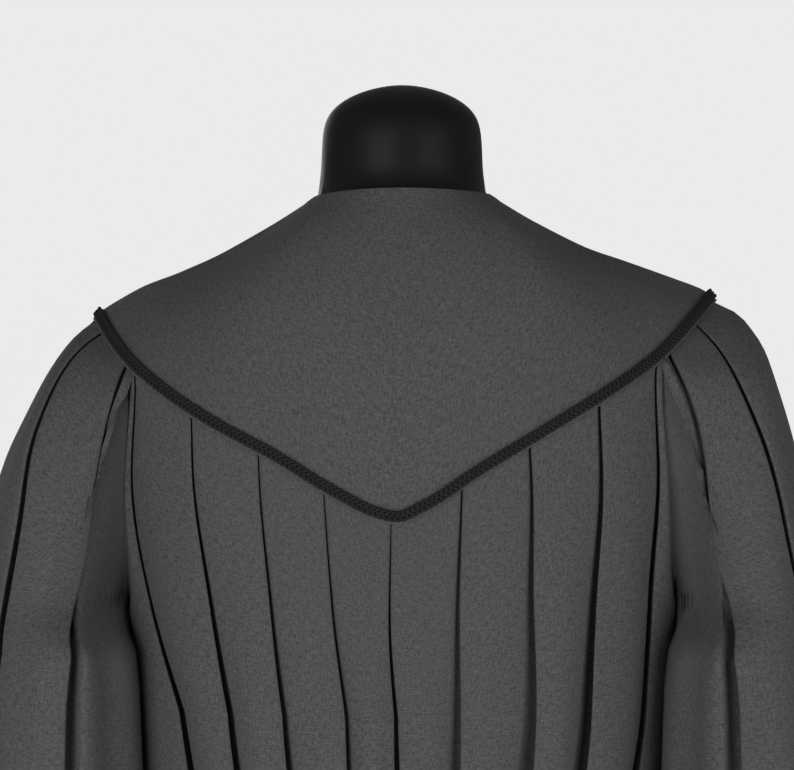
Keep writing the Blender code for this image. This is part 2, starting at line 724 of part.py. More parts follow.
def panel_grid(panel):
    rows = []
    for place in FRONT_PLACES if panel["front"] else BACK_PLACES:
        base = panel_base(panel, place)
        above = panel_base(panel, max(place - 0.03, 0.0))
        below = panel_base(panel, place + 0.03 if place < 2 else place - 0.03)
        if place == 2:
            above, below = below, base
        lean = row_normals(base, below, above)
        places = run_lengths(base)
        folds = []
        for number, (facing, *_, room, openness) in enumerate(panel["pleats"]):
            spot = GUIDE_SAMPLES * (number + 1)
            drop = panel["edge"][spot, 2] - base[spot, 2] if place > 0 else 0.0
            underlap, depth, pocket, mouth = read_curve(PLEAT, drop)
            underlap *= room + (1 - room) * ease(drop / 0.16)
            folds.append((places[spot], pleat_profile(facing, (underlap, depth, pocket, mouth * openness))))
        crown = float(read_curve(PANEL_CROWN, place)[0])
        rows.append(folded_row(base, lean, places, folds, crown, [2] * (len(folds) + 1)))
    grid = np.array(rows)
    normals = grid_normals(grid)
    middle = grid.shape[1] // 2
    if (normals[-1, middle] * grid[-1, middle] * (1, 1, 0)).sum() < 0:
        normals = -normals
    return grid, normals


def settle_sides(grid, normals, front):
    """Open the side seams, and hold the wall's ends in the seam's own plane."""
    toward = 1.0 if front else -1.0
    for place in (0, -1):
        centre = front and np.abs(grid[:, place, 0]).max() < 0.02
        if centre:
            normals[:, place, 0] = 0.0
            continue
        seam = np.abs(grid[:, place, 1]) < 0.002
        grid[seam, place, 1] = toward * 0.5 * SEAM_GAP
        normals[seam, place, 1] = 0.0
    return grid, unit(normals)


def build_panels(cloth):
    """The pleated panels. Returns each one's sides, which the sleeves are set against."""
    panels = {
        "back_panel": make_panel("back", BACK_PLEATS, BACK_CORNERS["left"], BACK_CORNERS["right"]),
        "front_right": make_panel("right", FRONT_PLEATS, CENTRE_GAP, FRONT_CORNER),
    }
    mirrored = tuple((*(-value for value in pleat[:6]), *pleat[6:]) for pleat in FRONT_PLEATS[::-1])
    panels["front_left"] = make_panel("left", mirrored, -FRONT_CORNER, -CENTRE_GAP)
    sides = {}
    for name, panel in panels.items():
        grid, normals = panel_grid(panel)
        grid, normals = settle_sides(grid, normals, panel["front"])
        cloth_wall(name, grid, normals, cloth)
        armhole = UPPER_PLACES.index(UNDERARM_PLACE) + 1
        for side, place, beside in (("left", 0, 1), ("right", -1, -2)):
            away = unit(grid[:armhole, place] - grid[:armhole, beside])
            sides[name, side] = grid[:armhole, place] + away * 1.5 * SEAM_GAP
        if panel["front"]:
            sides[name, "centre"] = grid[:, 0 if name == "front_right" else -1]
    return sides


# The sleeves
def sleeve_oval(side, angle, height):
    outer, inner, back, front, inner_y = np.moveaxis(read_curve(SLEEVES[side], height), -1, 0)
    turn = np.radians(angle)
    x = (outer + inner) / 2 + (outer - inner) / 2 * np.cos(turn)
    y = np.where(np.sin(turn) >= 0, back, front) * np.abs(np.sin(turn))
    y += inner_y * (0.5 - 0.5 * np.cos(turn)) ** 2
    return np.stack([side_sign(side) * x, y, height + 0 * x], axis=-1)


def seam_place(angle):
    return read_curve(SLEEVE_SEAM, np.where(angle > 180, 360 - angle, angle))[:, 0]


def sleeve_seam(side, angle, sides, down):
    """The seam at an angle round the sleeve: under the yoke, this far down it, then along the armhole."""
    points = np.empty((len(angle), 3))
    place = seam_place(angle)
    for back in (True, False):
        half = (angle <= 180) == back
        part = "back" if back else side
        panel = "back_panel" if back else "front_" + side
        armhole = sides[panel, side]
        corner = across_at(part, armhole[0, 0])
        tip = 1.0 if back and side == "right" else 0.0
        across = tip + (corner - tip) * np.clip(place[half], 0, 1)
        lap = yoke_surface(part, across, down) - SLEEVE_LAP_DEPTH * yoke_normal(part, across, down)
        hole = along(armhole, np.clip(place[half] - 1, 0, 1))
        points[half] = np.where((place[half] < 1)[:, None], lap, hole)
    return points


def sleeve_wave(angle, place):
    """How far the sleeve stands out at an angle, from its soft troughs and ridges."""
    fold = np.where(angle > 180, 360 - angle, angle)
    out = np.zeros_like(fold)
    for at, half_width, seam, level, cuff in SLEEVE_WAVES:
        height = float(read_curve([(0.0, seam), (1.0, level), (2.0, cuff)], place)[0])
        out += height * np.exp(-(((fold - at) / half_width) ** 2))
    ridge = float(read_curve(SLEEVE_FRONT_RIDGE, place)[0])
    return out + ridge * np.exp(-(((angle - RIDGE_ANGLE) / RIDGE_HALF_WIDTH) ** 2))


def sleeve_base(side, place, angle, lap, edge):
    """A sleeve's plain row. A place under 0 is the top row, under the yoke and along the armhole."""
    if place < 0:
        return lap
    plain = sleeve_oval(side, angle, edge[:, 2])
    if place < 1:
        start = ARMHOLE_START * ease((seam_place(angle) - 0.96) / 0.08)
        shares = start + (1 - start) * place
        heights = edge[:, 2] + (LEVEL_Z - edge[:, 2]) * shares
        roll = HEAD_ROLL * np.clip(np.cos(np.radians(angle)), 0, 1) ** 2
        fade = ((1 - shares) ** (HEAD_FADE + roll))[:, None]
    else:
        heights = height_at(edge[:, 2], place, CUFF_Z)
        fade = 0.0
    base = sleeve_oval(side, angle, heights) + (edge - plain) * fade
    centre = base.mean(axis=0)
    out = unit((base - centre) * np.array([1.0, 1.0, 0.0]))
    return base + out * sleeve_wave(angle, place)[:, None]


def build_sleeve(side, sides, cloth):
    angle = np.linspace(0, 360, SLEEVE_SAMPLES)
    lap = sleeve_seam(side, angle, sides, LAP_SHARE)
    edge = sleeve_seam(side, angle, sides, 1.0)
    pleats = SLEEVE_PLEATS[side]
    ring = [(pleat, False) for pleat in pleats] + [(pleat, True) for pleat in reversed(pleats)]
    rows = []
    for place in (-1.0, *SLEEVE_PLACES):
        base = sleeve_base(side, place, angle, lap, edge)
        above = sleeve_base(side, max(place - 0.02, 0.0), angle, lap, edge)
        below = sleeve_base(side, min(max(place, 0.0) + 0.02, 2.0), angle, lap, edge)
        lean = unit(np.cross(np.gradient(base, axis=0), below - above))
        middle = base.mean(axis=0)
        lean *= np.sign((lean * (base - middle)).sum())
        places = run_lengths(base)
        folds = []
        for (facing, *angles, openness), mirrored in ring:
            at = float(read_curve(list(zip(SLEEVE_KNOTS, angles)), max(place, 0.0))[0])
            spot = np.interp(360 - at if mirrored else at, angle, places)
            underlap, depth, pocket, mouth = read_curve(SLEEVE_FOLD, max(place, 0.0))
            mouth *= openness
            faces = -facing if mirrored else facing
            folds.append((spot - faces * mouth / 2, pleat_profile(faces, (underlap, depth, pocket, mouth))))
        rows.append(folded_row(base, lean, places, folds, 0.0, SLEEVE_STRETCHES, closed=True))
    grid = np.array(rows)
    normals = grid_normals(grid, closed=True)
    centre = grid[-1].mean(axis=0)
    if (normals[-1] * (grid[-1] - centre)).sum() < 0:
        normals = -normals
    cloth_wall("sleeve_" + side, grid, normals, cloth, closed=True)


# Yoke and braid
def steps_across(part):
    """The places along a yoke's edge that its points stand at, one of them at its point."""
    if part != "back":
        return np.linspace(0, 1, FRONT_STEPS + 1)
    point = EDGES["back"][POINT_ROW, 0]
    half = BACK_STEPS // 2 + 1
    return np.concatenate([np.linspace(0, point, half), np.linspace(point, 1, half)[1:]])


def build_yoke(name, part, cloth):
    across = steps_across(part)
    grid = np.array([yoke_surface(part, across, down) for down in YOKE_ROWS])
    normals = np.array([yoke_normal(part, across, down) for down in YOKE_ROWS])
    grid[:, :, 1] += shoulder_gap(part, across)
    if part == "left":
        grid, normals = grid[:, ::-1], normals[:, ::-1]
    cloth_wall(name, grid, normals, cloth)


def build_braid(name, part, finish):
    across = steps_across(part)
    reach = np.linalg.norm(yoke_edge(part, across) - neckline(part, across), axis=-1)
    middle_down = 1 - BRAID_INSET / reach
    middle = yoke_surface(part, across, middle_down)
    normal = yoke_normal(part, across, middle_down)
    tangent = unit(np.gradient(middle, axis=0))
    down = unit(yoke_surface(part, across, 1.0) - yoke_surface(part, across, 0.9))
    ends = [0, -1] if part == "back" else [0]
    down[ends, 1] = 0.0
    down[ends] = unit(down[ends])
    if part != "back":
        down[-1, 0] = 0.0
        down[-1] = unit(down[-1])
    square = unit(np.cross(normal, tangent))
    stretch = 1 / np.maximum(np.abs((down * square).sum(-1, keepdims=True)), 0.5)
    base = middle + normal * SEAM_GAP
    base[:, 1] += shoulder_gap(part, across)
    ring = []
    for wide, high in BRAID_SECTION:
        ring.append(base + down * stretch * wide * BRAID_WIDTH / 2 + normal * high * BRAID_THICK)
    sections = np.stack(ring, axis=1)
    count = len(BRAID_SECTION)
    faces = grid_faces(len(sections), count, 0, True)
    faces.append(tuple(range(count)))
    faces.append(tuple(range((len(sections) - 1) * count, len(sections) * count)))
    add_solid(name, sections.reshape(-1, 3), faces, finish)


# Zip
def centre_line(sides):
    """The centre front's outer face from the neckline to the zip's end, as the fronts have it."""
    down = np.array((ZIP_TOP_SHARE, *YOKE_ROWS[1:-1]))
    yoke = yoke_surface("right", 1.0, down) - LAP_DEPTH * yoke_normal("right", 1.0, down)
    panel = sides["front_right", "centre"]
    line = np.concatenate([yoke, panel])
    line[:, 0] = 0.0
    end = np.interp(-ZIP_END_Z, -line[:, 2], line[:, 1])
    line = line[line[:, 2] > ZIP_END_Z + 0.001]
    return np.vstack([line, [0.0, end, ZIP_END_Z]])


def line_normals(line):
    run = unit(np.gradient(line, axis=0))
    return unit(np.stack([0 * run[:, 0], -run[:, 2], run[:, 1]], axis=1))


def add_strip(name, line, normals, low_x, high_x, low, high, finish):
    """A strip along the centre front between two places across and two places out of it."""
    corners = ((low_x, low), (high_x, low), (high_x, high), (low_x, high))
    sections = np.stack([line + normals * out + np.array([x, 0.0, 0.0]) for x, out in corners], axis=1)
    faces = grid_faces(len(sections), 4, 0, True)
    faces.append((0, 1, 2, 3))
    last = 4 * (len(sections) - 1)
    faces.append((last, last + 1, last + 2, last + 3))
    return add_solid(name, sections.reshape(-1, 3), faces, finish)


def extrude_profile(name, outline, hole, half_width, place, finish):
    """A plate from an outline with a hole, of the same number of points, both sides closed."""
    count = len(outline)
    points = []
    for across in (-half_width, half_width):
        for loop in (outline, hole):
            points += [place(across, down, out) for down, out in loop]
    faces = []
    for number in range(count):
        after = (number + 1) % count
        for side in (0, 2 * count):
            faces.append((side + number, side + after, side + count + after, side + count + number))
        for loop in (0, count):
            faces.append((loop + number, loop + after, loop + after + 2 * count, loop + number + 2 * count))
    return add_solid(name, points, faces, finish)


def build_zip(sides, tape, teeth, metal):
    line = centre_line(sides)
    normals = line_normals(line)
    tape_back = -TAPE_DEPTH - TAPE_THICK
    add_strip("zip_tape_left", line, normals, -TAPE_HALF_WIDTH, -CLOSED_GAP, tape_back, -TAPE_DEPTH, tape)
    add_strip("zip_tape_right", line, normals, CLOSED_GAP, TAPE_HALF_WIDTH, tape_back, -TAPE_DEPTH, tape)
    chain_low = -TAPE_DEPTH + TOUCH_GAP
    chain_high = chain_low + CHAIN_THICK
    add_strip("zip_chain", line, normals, -CHAIN_HALF_WIDTH, CHAIN_HALF_WIDTH, chain_low, chain_high, teeth)

    top, foot = (
        yoke_surface("right", 1.0, down) - LAP_DEPTH * yoke_normal("right", 1.0, down) for down in SLIDER_PLACES
    )
    run = unit(foot - top) * np.array([0.0, 1.0, 1.0])
    out = np.array([0.0, -run[2], run[1]])
    origin = top * np.array([0.0, 1.0, 1.0]) + out * (chain_high + 3 * TOUCH_GAP)

    def place(across, down, outward):
        return origin + run * down + out * outward + np.array([across, 0.0, 0.0])

    build_slider(place, metal)
    build_tab(place, metal)


def build_slider(place, metal):
    """A plate with a strap over its middle, in one piece, that the tab's bar hangs under."""
    (low_x, low_down, low_out), (high_x, high_down, high_out) = SLIDER_PLATE
    points = [
        place(x, down, out)
        for out in (low_out, high_out)
        for x, down in ((low_x, low_down), (high_x, low_down), (high_x, high_down), (low_x, high_down))
    ]
    faces = [(0, 1, 2, 3), (4, 5, 6, 7)] + [(n, (n + 1) % 4, (n + 1) % 4 + 4, n + 4) for n in range(4)]
    slider = add_solid("zip_slider", points, faces, metal)
    strap = extrude_profile("strap", STRAP_PROFILE, STRAP_HOLE, STRAP_HALF_WIDTH, place, metal)
    join = slider.modifiers.new("join", "BOOLEAN")
    join.operation = "UNION"
    join.object = strap
    depsgraph = bpy.context.evaluated_depsgraph_get()
    joined = bpy.data.meshes.new_from_object(slider.evaluated_get(depsgraph))
    slider.modifiers.clear()
    slider.data = joined
    bpy.data.objects.remove(strap)


def build_tab(place, metal):
    """The pull tab: a plate with a window whose top bar turns under the strap. Its empty is on the bar."""
    half = TAB_THICK / 2
    (low_x, top), (high_x, foot) = TAB_WINDOW
    axis = bpy.data.objects.new("zip_pull_axis", None)
    bpy.context.scene.collection.objects.link(axis)
    pivot = place(0.0, *PIVOT)
    axis.location = pivot
    outline = ((-half, -TAB_HALF_WIDTH), (-half, TAB_HALF_WIDTH), (TAB_LENGTH, TAB_HALF_WIDTH * 0.8))
    outline += ((TAB_LENGTH, -TAB_HALF_WIDTH * 0.8),)
    window = ((top, low_x), (top, high_x), (foot, high_x), (foot, low_x))
    down_zero, out_zero = PIVOT

    def on_tab(outward, down, across):
        return place(across, down_zero + down, out_zero + outward) - pivot

    extrude_profile("zip_pull", outline, window, half, on_tab, metal).parent = axis


# Dress form
def form_ring(row):
    """One ring of the form under the yoke, across the back and then across both fronts."""
    share, depth = row
    front = steps_across("right")
    ring = []
    for part, across in (("back", steps_across("back")), ("right", front[1:]), ("left", front[:0:-1])):
        hollow = 0.0 if part == "back" else FORM_CHEST_HOLLOW * ease((across - 0.55) / 0.35)[:, None]
        normal = yoke_normal(part, across, share)
        ring.append(yoke_surface(part, across, share) - normal * (WALL + depth + hollow))
    return np.concatenate(ring)


def oval_ring(height, half_width, back, front, middle_y=0.0):
    """A level ring with as many points as the rings under the yoke, at the same places round the body."""
    turns = [np.pi * (1 + np.linspace(0, 1, BACK_STEPS + 1))]
    front_turn = 0.5 * np.pi * np.linspace(0, 1, FRONT_STEPS + 1)[1:]
    front_turn[-1] -= FRONT_TURN_STEP
    turns += [front_turn, np.pi - front_turn[::-1]]
    turn = np.concatenate(turns)
    depth = np.where(np.sin(turn) < 0, back, front)
    return np.stack([half_width * np.cos(turn), middle_y + depth * np.sin(turn), height + 0 * turn], axis=1)


def build_form(finish):
    rings = []
    width = FORM_NECK_HALF_WIDTH
    dome_z = FORM_NECK[0][0]
    for turn in FORM_DOME_TURNS:
        radius = width * math.cos(math.radians(turn))
        rise = FORM_DOME_HEIGHT * math.sin(math.radians(turn))
        rings.append(oval_ring(dome_z + rise, radius, radius, radius, FORM_NECK_Y))
    for height, grows in FORM_NECK:
        rings.append(oval_ring(height, width + grows, width + grows, width + grows, FORM_NECK_Y))
    rings += [form_ring(row) for row in FORM_SHOULDERS]
    chest = oval_ring(*FORM_BODY[0])
    rings.append(rings[-1] + (chest - rings[-1]) * FORM_BLEND)
    rings += [oval_ring(*row) for row in FORM_BODY]
    grid = np.array(rings)
    count = grid.shape[1]
    points = np.vstack([grid.reshape(-1, 3), [0.0, FORM_NECK_Y, dome_z + FORM_DOME_HEIGHT]])
    faces = grid_faces(len(grid), count, 0, True)
    apex = len(points) - 1
    faces += [(apex, place, (place + 1) % count) for place in range(count)]
    faces.append(tuple(range(apex - count, apex)))
    add_solid("form", points, faces, finish)


def turned(name, profile, finish):
    """A solid turned about Z from a profile that runs up its outside."""
    turn = np.linspace(0, 2 * np.pi, ROUND_SIDES, endpoint=False)
    points = [(r * math.cos(a), r * math.sin(a), z) for r, z in profile for a in turn]
    faces = grid_faces(len(profile), ROUND_SIDES, 0, True)
    faces.append(tuple(range(ROUND_SIDES)))
    faces.append(tuple(range(len(points) - ROUND_SIDES, len(points))))
    add_solid(name, points, faces, finish)


def build_stand(finish):
    turned("stand_base", BASE_PROFILE, finish)
    foot = BASE_PROFILE[-1][1] + TOUCH_GAP
    head = FORM_BODY[-1][0] - TOUCH_GAP
    turned("stand_pole", ((POLE_RADIUS, foot), (POLE_RADIUS, head)), finish)


def main():
    for old in list(bpy.data.objects):
        bpy.data.objects.remove(old)
    cloth = make_material("charcoal cloth", CHARCOAL, 0.85)
    braid = make_material("black braid", BRAID_BLACK, 0.55)
    tape = make_material("zip tape", TAPE_BLACK, 0.8)
    teeth = make_material("zip teeth", TAPE_BLACK, 0.4)
    metal = make_material("satin steel", SATIN_STEEL, 0.35, 1.0)
    painted = make_material("painted steel", STAND_BLACK, 0.4)
    gloss = make_material("gloss black", GLOSS_BLACK, 0.2)

    sides = build_panels(cloth)
    for side in ("left", "right"):
        build_sleeve(side, sides, cloth)
    build_yoke("yoke_back", "back", cloth)
    build_braid("braid_back", "back", braid)
    for side in ("left", "right"):
        build_yoke("yoke_front_" + side, side, cloth)
        build_braid("braid_front_" + side, side, braid)
    build_zip(sides, tape, teeth, metal)
    build_form(gloss)
    build_stand(painted)


if __name__ == "__main__":
    main()
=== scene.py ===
"""The looks of a graduation gown on its dress form, laid out as an add-on.

Its cloth, braid, zip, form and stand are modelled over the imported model's nodes, and set in a plain studio.
The gown's back faces -Y, +X is its right side and +Z is up. All sizes are metres.
"""

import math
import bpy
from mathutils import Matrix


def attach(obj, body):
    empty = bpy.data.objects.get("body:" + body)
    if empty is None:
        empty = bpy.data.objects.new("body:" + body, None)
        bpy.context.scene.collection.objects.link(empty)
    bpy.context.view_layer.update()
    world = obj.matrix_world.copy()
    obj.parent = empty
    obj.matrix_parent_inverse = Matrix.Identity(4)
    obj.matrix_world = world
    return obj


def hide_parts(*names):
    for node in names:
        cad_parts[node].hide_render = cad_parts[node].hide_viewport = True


bl_info = {
    "name": "Graduation Gown",
    "version": (1, 0, 0),
    "blender": (4, 5, 0),
    "location": "View3D > Sidebar > Gown",
    "description": "Dresses the packed gown in pleated cloth, braid, a zip and a gloss form",
    "category": "Object",
}

import bpy
import numpy as np
from mathutils import Vector

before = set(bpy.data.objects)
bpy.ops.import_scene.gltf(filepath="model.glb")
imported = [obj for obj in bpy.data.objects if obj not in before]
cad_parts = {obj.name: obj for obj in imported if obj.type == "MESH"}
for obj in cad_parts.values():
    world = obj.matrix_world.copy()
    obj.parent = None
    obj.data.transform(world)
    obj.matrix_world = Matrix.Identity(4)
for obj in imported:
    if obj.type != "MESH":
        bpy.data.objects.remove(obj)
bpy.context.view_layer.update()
BODY_NAME = "gown_and_form"
PULL_BODY = "zip_pull"

# Cloth and seams, as in the part's source
SEAM_GAP = 0.0004
LAP_DEPTH = 0.0018
SLEEVE_LAP_DEPTH = 0.0026
LAP_SHARE = 0.975
HEM_Z = 0.200
CUFF_Z = 0.800
LEVEL_Z = 1.120
ZIP_END_Z = 0.610

# The yoke's edge across the back, from the left tip over the point to the right tip
BACK_EDGE = (
    # x, y, z
    (-0.2318, 0.0000, 1.4070),
    (-0.2180, -0.0330, 1.3870),
    (-0.2020, -0.0610, 1.3690),
    (-0.1760, -0.0870, 1.3485),
    (-0.1397, -0.1120, 1.3255),
    (-0.0931, -0.1290, 1.3010),
    (-0.0473, -0.1370, 1.2740),
    (-0.0180, -0.1395, 1.2600),
    (-0.0029, -0.1400, 1.2570),
    (0.0140, -0.1393, 1.2640),
    (0.0558, -0.1360, 1.2904),
    (0.1017, -0.1265, 1.3176),
    (0.1483, -0.1075, 1.3455),
    (0.1890, -0.0760, 1.3730),
    (0.2198, -0.0370, 1.4030),
    (0.2363, 0.0000, 1.4208),
)
# The right front yoke's edge, from below the tip to the centre front; the left is its mirror
FRONT_EDGE = (
    # x, y, z
    (0.2170, 0.0310, 1.3910),
    (0.1980, 0.0580, 1.3710),
    (0.1600, 0.0880, 1.3480),
    (0.1000, 0.1130, 1.3230),
    (0.0500, 0.1235, 1.3020),
    (0.0045, 0.1270, 1.2840),
)
TIP_LIFT_FADE = (0.85, 0.60, 0.25, 0.05, 0.0, 0.0)
CENTRE_GAP = 0.0045
CLOSED_GAP = 0.0003
CLOSING_RUN = 0.0120  # the fronts draw together over this height

NECK_HALF_WIDTH = 0.0660
NECK_BACK = 0.0690
NECK_FRONT = 0.0800
NECK_SIDE_Y = -0.0050
NECK_SIDE_Z = {"left": 1.4968, "right": 1.4990}
NECK_BACK_Z = 1.5013
NECK_FRONT_Z = 1.4530
NECK_FRONT_FALL = 1.6  # how late the front neckline falls
SHOULDER_RISE = (
    # share, left, right
    (0.00, 0.0000, 0.0000),
    (0.20, -0.0030, -0.0045),
    (0.40, -0.0038, -0.0060),
    (0.60, -0.0010, -0.0025),
    (0.80, 0.0036, 0.0010),
    (0.93, 0.0028, 0.0028),
    (1.00, 0.0000, 0.0000),
)
YOKE_CROWN = (
    # share, back out, back up, front out, front up
    (0.00, 0.000, 0.000, 0.000, 0.000),
    (0.25, 0.012, 0.010, 0.005, 0.004),
    (0.50, 0.017, 0.012, 0.008, 0.006),
    (0.75, 0.011, 0.007, 0.006, 0.004),
    (1.00, 0.000, 0.000, 0.000, 0.000),
)
POINT_ROW = 8  # the row of the back edge's table that is the yoke's point
SHOULDER_BLEND = 0.24
CHEST_BLEND = 0.45
NORMAL_STEP = 0.004  # how far apart a normal's neighbours lie
END_SHARE = 1e-6  # closer than this to an end counts as the end
EDGE_SAMPLES = 801
YOKE_MIDDLE = (0.0, 0.0, 1.25)

# The body's level sections
BODY = (
    # z, half width, back, front
    (0.20, 0.300, 0.255, 0.230),
    (0.45, 0.263, 0.217, 0.196),
    (0.70, 0.226, 0.182, 0.166),
    (0.90, 0.199, 0.158, 0.144),
    (1.02, 0.190, 0.150, 0.136),
    (1.12, 0.194, 0.148, 0.133),
    (1.20, 0.203, 0.145, 0.130),
    (1.28, 0.215, 0.140, 0.126),
    (1.37, 0.218, 0.133, 0.117),
    (1.42, 0.226, 0.120, 0.105),
)
OVAL = 2.3
UNDERARM_PLACE = 0.72
WAIST_PLACE = 1.13
ARMHOLE_START = 0.03
BACK_CORNERS = {"left": -0.2020, "right": 0.1930}
FRONT_CORNER = 0.1960
GUIDE_SAMPLES = 64
SIDE_FADE_RUN = 0.02
PANEL_LEAN_STEP = 0.03  # how far the rows beside a row lie, for its normals
UNDERLAP_RUN = 0.16  # a pleat's underlap grows to its full size over this drop
PANEL_HANG = 0.25  # the cloth is free of the yoke from this place down
SEAM_BAND = 0.002
ARMHOLE_GAPS = 1.5  # how many seam gaps lie between an armhole and its sleeve

BACK_PLEATS = (
    # facing, x at the edge, halfway, at LEVEL_Z, at the waist, at the hem, room, openness
    (-1, -0.1985, -0.1968, -0.1625, -0.148, -0.222, 0.30, 0.8),
    (-1, -0.1548, -0.1440, -0.1250, -0.113, -0.178, 1.00, 0.8),
    (-1, -0.1046, -0.0965, -0.0850, -0.076, -0.126, 1.00, 0.8),
    (-1, -0.0566, -0.0505, -0.0398, -0.036, -0.066, 1.00, 0.9),
    (0, -0.0080, -0.0090, -0.0045, -0.002, 0.000, 1.00, 1.2),
    (1, 0.0430, 0.0400, 0.0395, 0.037, 0.066, 1.00, 1.7),
    (1, 0.0924, 0.0930, 0.0930, 0.085, 0.126, 1.00, 2.0),
    (1, 0.1440, 0.1420, 0.1345, 0.122, 0.178, 1.00, 2.0),
    (1, 0.1880, 0.1870, 0.1795, 0.163, 0.224, 0.30, 1.4),
)
FRONT_PLEATS = (
    # facing, x at the edge, halfway, at LEVEL_Z, at the waist, at the hem, room, openness
    (1, 0.0460, 0.0430, 0.0400, 0.038, 0.072, 1.00, 1.0),
    (1, 0.0840, 0.0800, 0.0760, 0.072, 0.128, 1.00, 1.0),
    (1, 0.1240, 0.1190, 0.1130, 0.107, 0.182, 1.00, 1.0),
    (1, 0.1640, 0.1610, 0.1520, 0.142, 0.230, 0.90, 1.0),
)
PLEAT = (
    # drop below the yoke's edge, underlap, depth, pocket, mouth
    (0.00, 0.010, 0.0054, 0.0014, 0.0008),
    (0.12, 0.014, 0.0080, 0.0020, 0.0024),
    (0.24, 0.017, 0.0120, 0.0038, 0.0046),
    (0.60, 0.024, 0.0220, 0.0080, 0.0090),
    (1.15, 0.030, 0.0340, 0.0140, 0.0150),
)
LAYER_STEP = 0.0028
# The section of a knife pleat, beside the sizes of the table above
BEFORE_MOUTH = 0.0022
AFTER_MOUTH = 0.0014
UNDER_EDGE = 0.0012
LIP_DROP = 0.0008
LIP_IN = 0.0006
FLOOR_SAG = 0.001
FOLD_DEPTH = 0.005
LIP_SLOPE = 0.08
WALL_SHARE = 0.45
FOOT_SHARE = 0.4
FLOOR_SLOPE = 0.25
UNDER_SLOPE = 0.1
POCKET_SLOPE = 0.1
FLOOR_POINT = 3  # the point of the section where its floor ends
PANEL_CROWN = (
    # place, out
    (0.0, 0.0000),
    (0.3, 0.0015),
    (1.0, 0.0050),
    (2.0, 0.0090),
)

SLEEVES = {
    "left": (
        # z, outer x, inner x, back y, front y, inner y
        (0.80, 0.374, 0.228, -0.140, 0.132, -0.040),
        (0.97, 0.357, 0.202, -0.124, 0.118, -0.060),
        (1.06, 0.3455, 0.1885, -0.116, 0.110, -0.064),
        (1.12, 0.338, 0.1903, -0.112, 0.106, -0.062),
        (1.16, 0.3300, 0.1952, -0.109, 0.103, -0.062),
        (1.18, 0.3260, 0.2048, -0.107, 0.101, -0.036),
        (1.20, 0.3222, 0.2076, -0.1055, 0.0995, -0.003),
        (1.22, 0.3185, 0.2074, -0.104, 0.098, 0.000),
        (1.30, 0.2965, 0.2140, -0.094, 0.089, 0.000),
        (1.34, 0.2780, 0.2190, -0.084, 0.080, 0.000),
        (1.37, 0.2625, 0.2200, -0.070, 0.067, 0.000),
        (1.39, 0.2495, 0.2200, -0.053, 0.051, 0.000),
        (1.407, 0.2325, 0.2200, -0.040, 0.039, 0.000),
        (1.42, 0.2200, 0.2180, -0.030, 0.030, 0.000),
    ),
    "right": (
        # the same columns
        (0.80, 0.364, 0.228, -0.138, 0.130, -0.040),
        (0.97, 0.347, 0.202, -0.122, 0.116, -0.060),
        (1.06, 0.334, 0.1885, -0.114, 0.108, -0.064),
        (1.12, 0.326, 0.1901, -0.110, 0.104, -0.062),
        (1.16, 0.3200, 0.1953, -0.107, 0.102, -0.062),
        (1.18, 0.3168, 0.2046, -0.106, 0.101, -0.036),
        (1.20, 0.3134, 0.2085, -0.104, 0.099, -0.003),
        (1.22, 0.3100, 0.2078, -0.102, 0.097, 0.000),
        (1.30, 0.2960, 0.2140, -0.092, 0.088, 0.000),
        (1.36, 0.2790, 0.2200, -0.080, 0.076, 0.000),
        (1.385, 0.2710, 0.2200, -0.062, 0.060, 0.000),
        (1.40, 0.2625, 0.2200, -0.050, 0.049, 0.000),
        (1.412, 0.2530, 0.2200, -0.040, 0.040, 0.000),
        (1.421, 0.2380, 0.2180, -0.030, 0.030, 0.000),
    ),
}
SLEEVE_SEAM = (
    # angle from outermost, place on the seam
    (0.0, 0.00),
    (50.0, 0.26),
    (90.0, 0.66),
    (124.0, 1.00),
    (180.0, 2.00),
)
SLEEVE_KNOTS = (0.0, 0.18, 0.50, 1.0, 2.0)
SLEEVE_PLEATS = {
    "left": (
        # facing, angle at the seam, at the head, halfway, at LEVEL_Z, at the cuff, openness
        (-1, 40.0, 52.0, 64.0, 60.0, 56.0, 1.2),
        (-1, 106.0, 116.0, 122.0, 108.0, 111.0, 2.8),
    ),
    "right": (
        # the same columns
        (-1, 67.0, 69.0, 60.0, 44.0, 38.0, 0.9),
        (-1, 110.0, 112.0, 121.0, 103.0, 106.0, 2.8),
    ),
}
SLEEVE_FOLD = (
    # place, underlap, depth, pocket, mouth
    (0.00, 0.0040, 0.0052, 0.0012, 0.0008),
    (0.25, 0.0075, 0.0095, 0.0018, 0.0016),
    (1.00, 0.0125, 0.0160, 0.0030, 0.0036),
    (2.00, 0.0140, 0.0120, 0.0036, 0.0050),
)
SLEEVE_WAVES = (
    # angle, half width, out at the seam, at LEVEL_Z, at the cuff
    (146.0, 17.0, 0.0, -0.0150, -0.0120),
    (80.0, 16.0, 0.0, 0.0050, 0.0110),
    (22.0, 12.0, 0.0, 0.0030, 0.0080),
    (180.0, 14.0, -0.0019, 0.0000, 0.0000),
)
SLEEVE_FRONT_RIDGE = (
    # place, out: a soft ridge of the front half beside the body
    (0.0, 0.000),
    (0.5, 0.016),
    (0.8, 0.017),
    (1.0, 0.012),
    (2.0, 0.000),
)
RIDGE_ANGLE = 211.0
RIDGE_HALF_WIDTH = 16.0
SLEEVE_SAMPLES = 1441
SLEEVE_LEAN_STEP = 0.02
SLEEVE_HANG = 0.3
ARMHOLE_BEGIN = 0.96  # the seam leaves the yoke's edge here, over the blend
ARMHOLE_BLEND = 0.08
HEAD_FADE = 2.5  # how fast the plain sleeve takes over from the seam
HEAD_ROLL = 22.0  # and how much faster at the outermost side

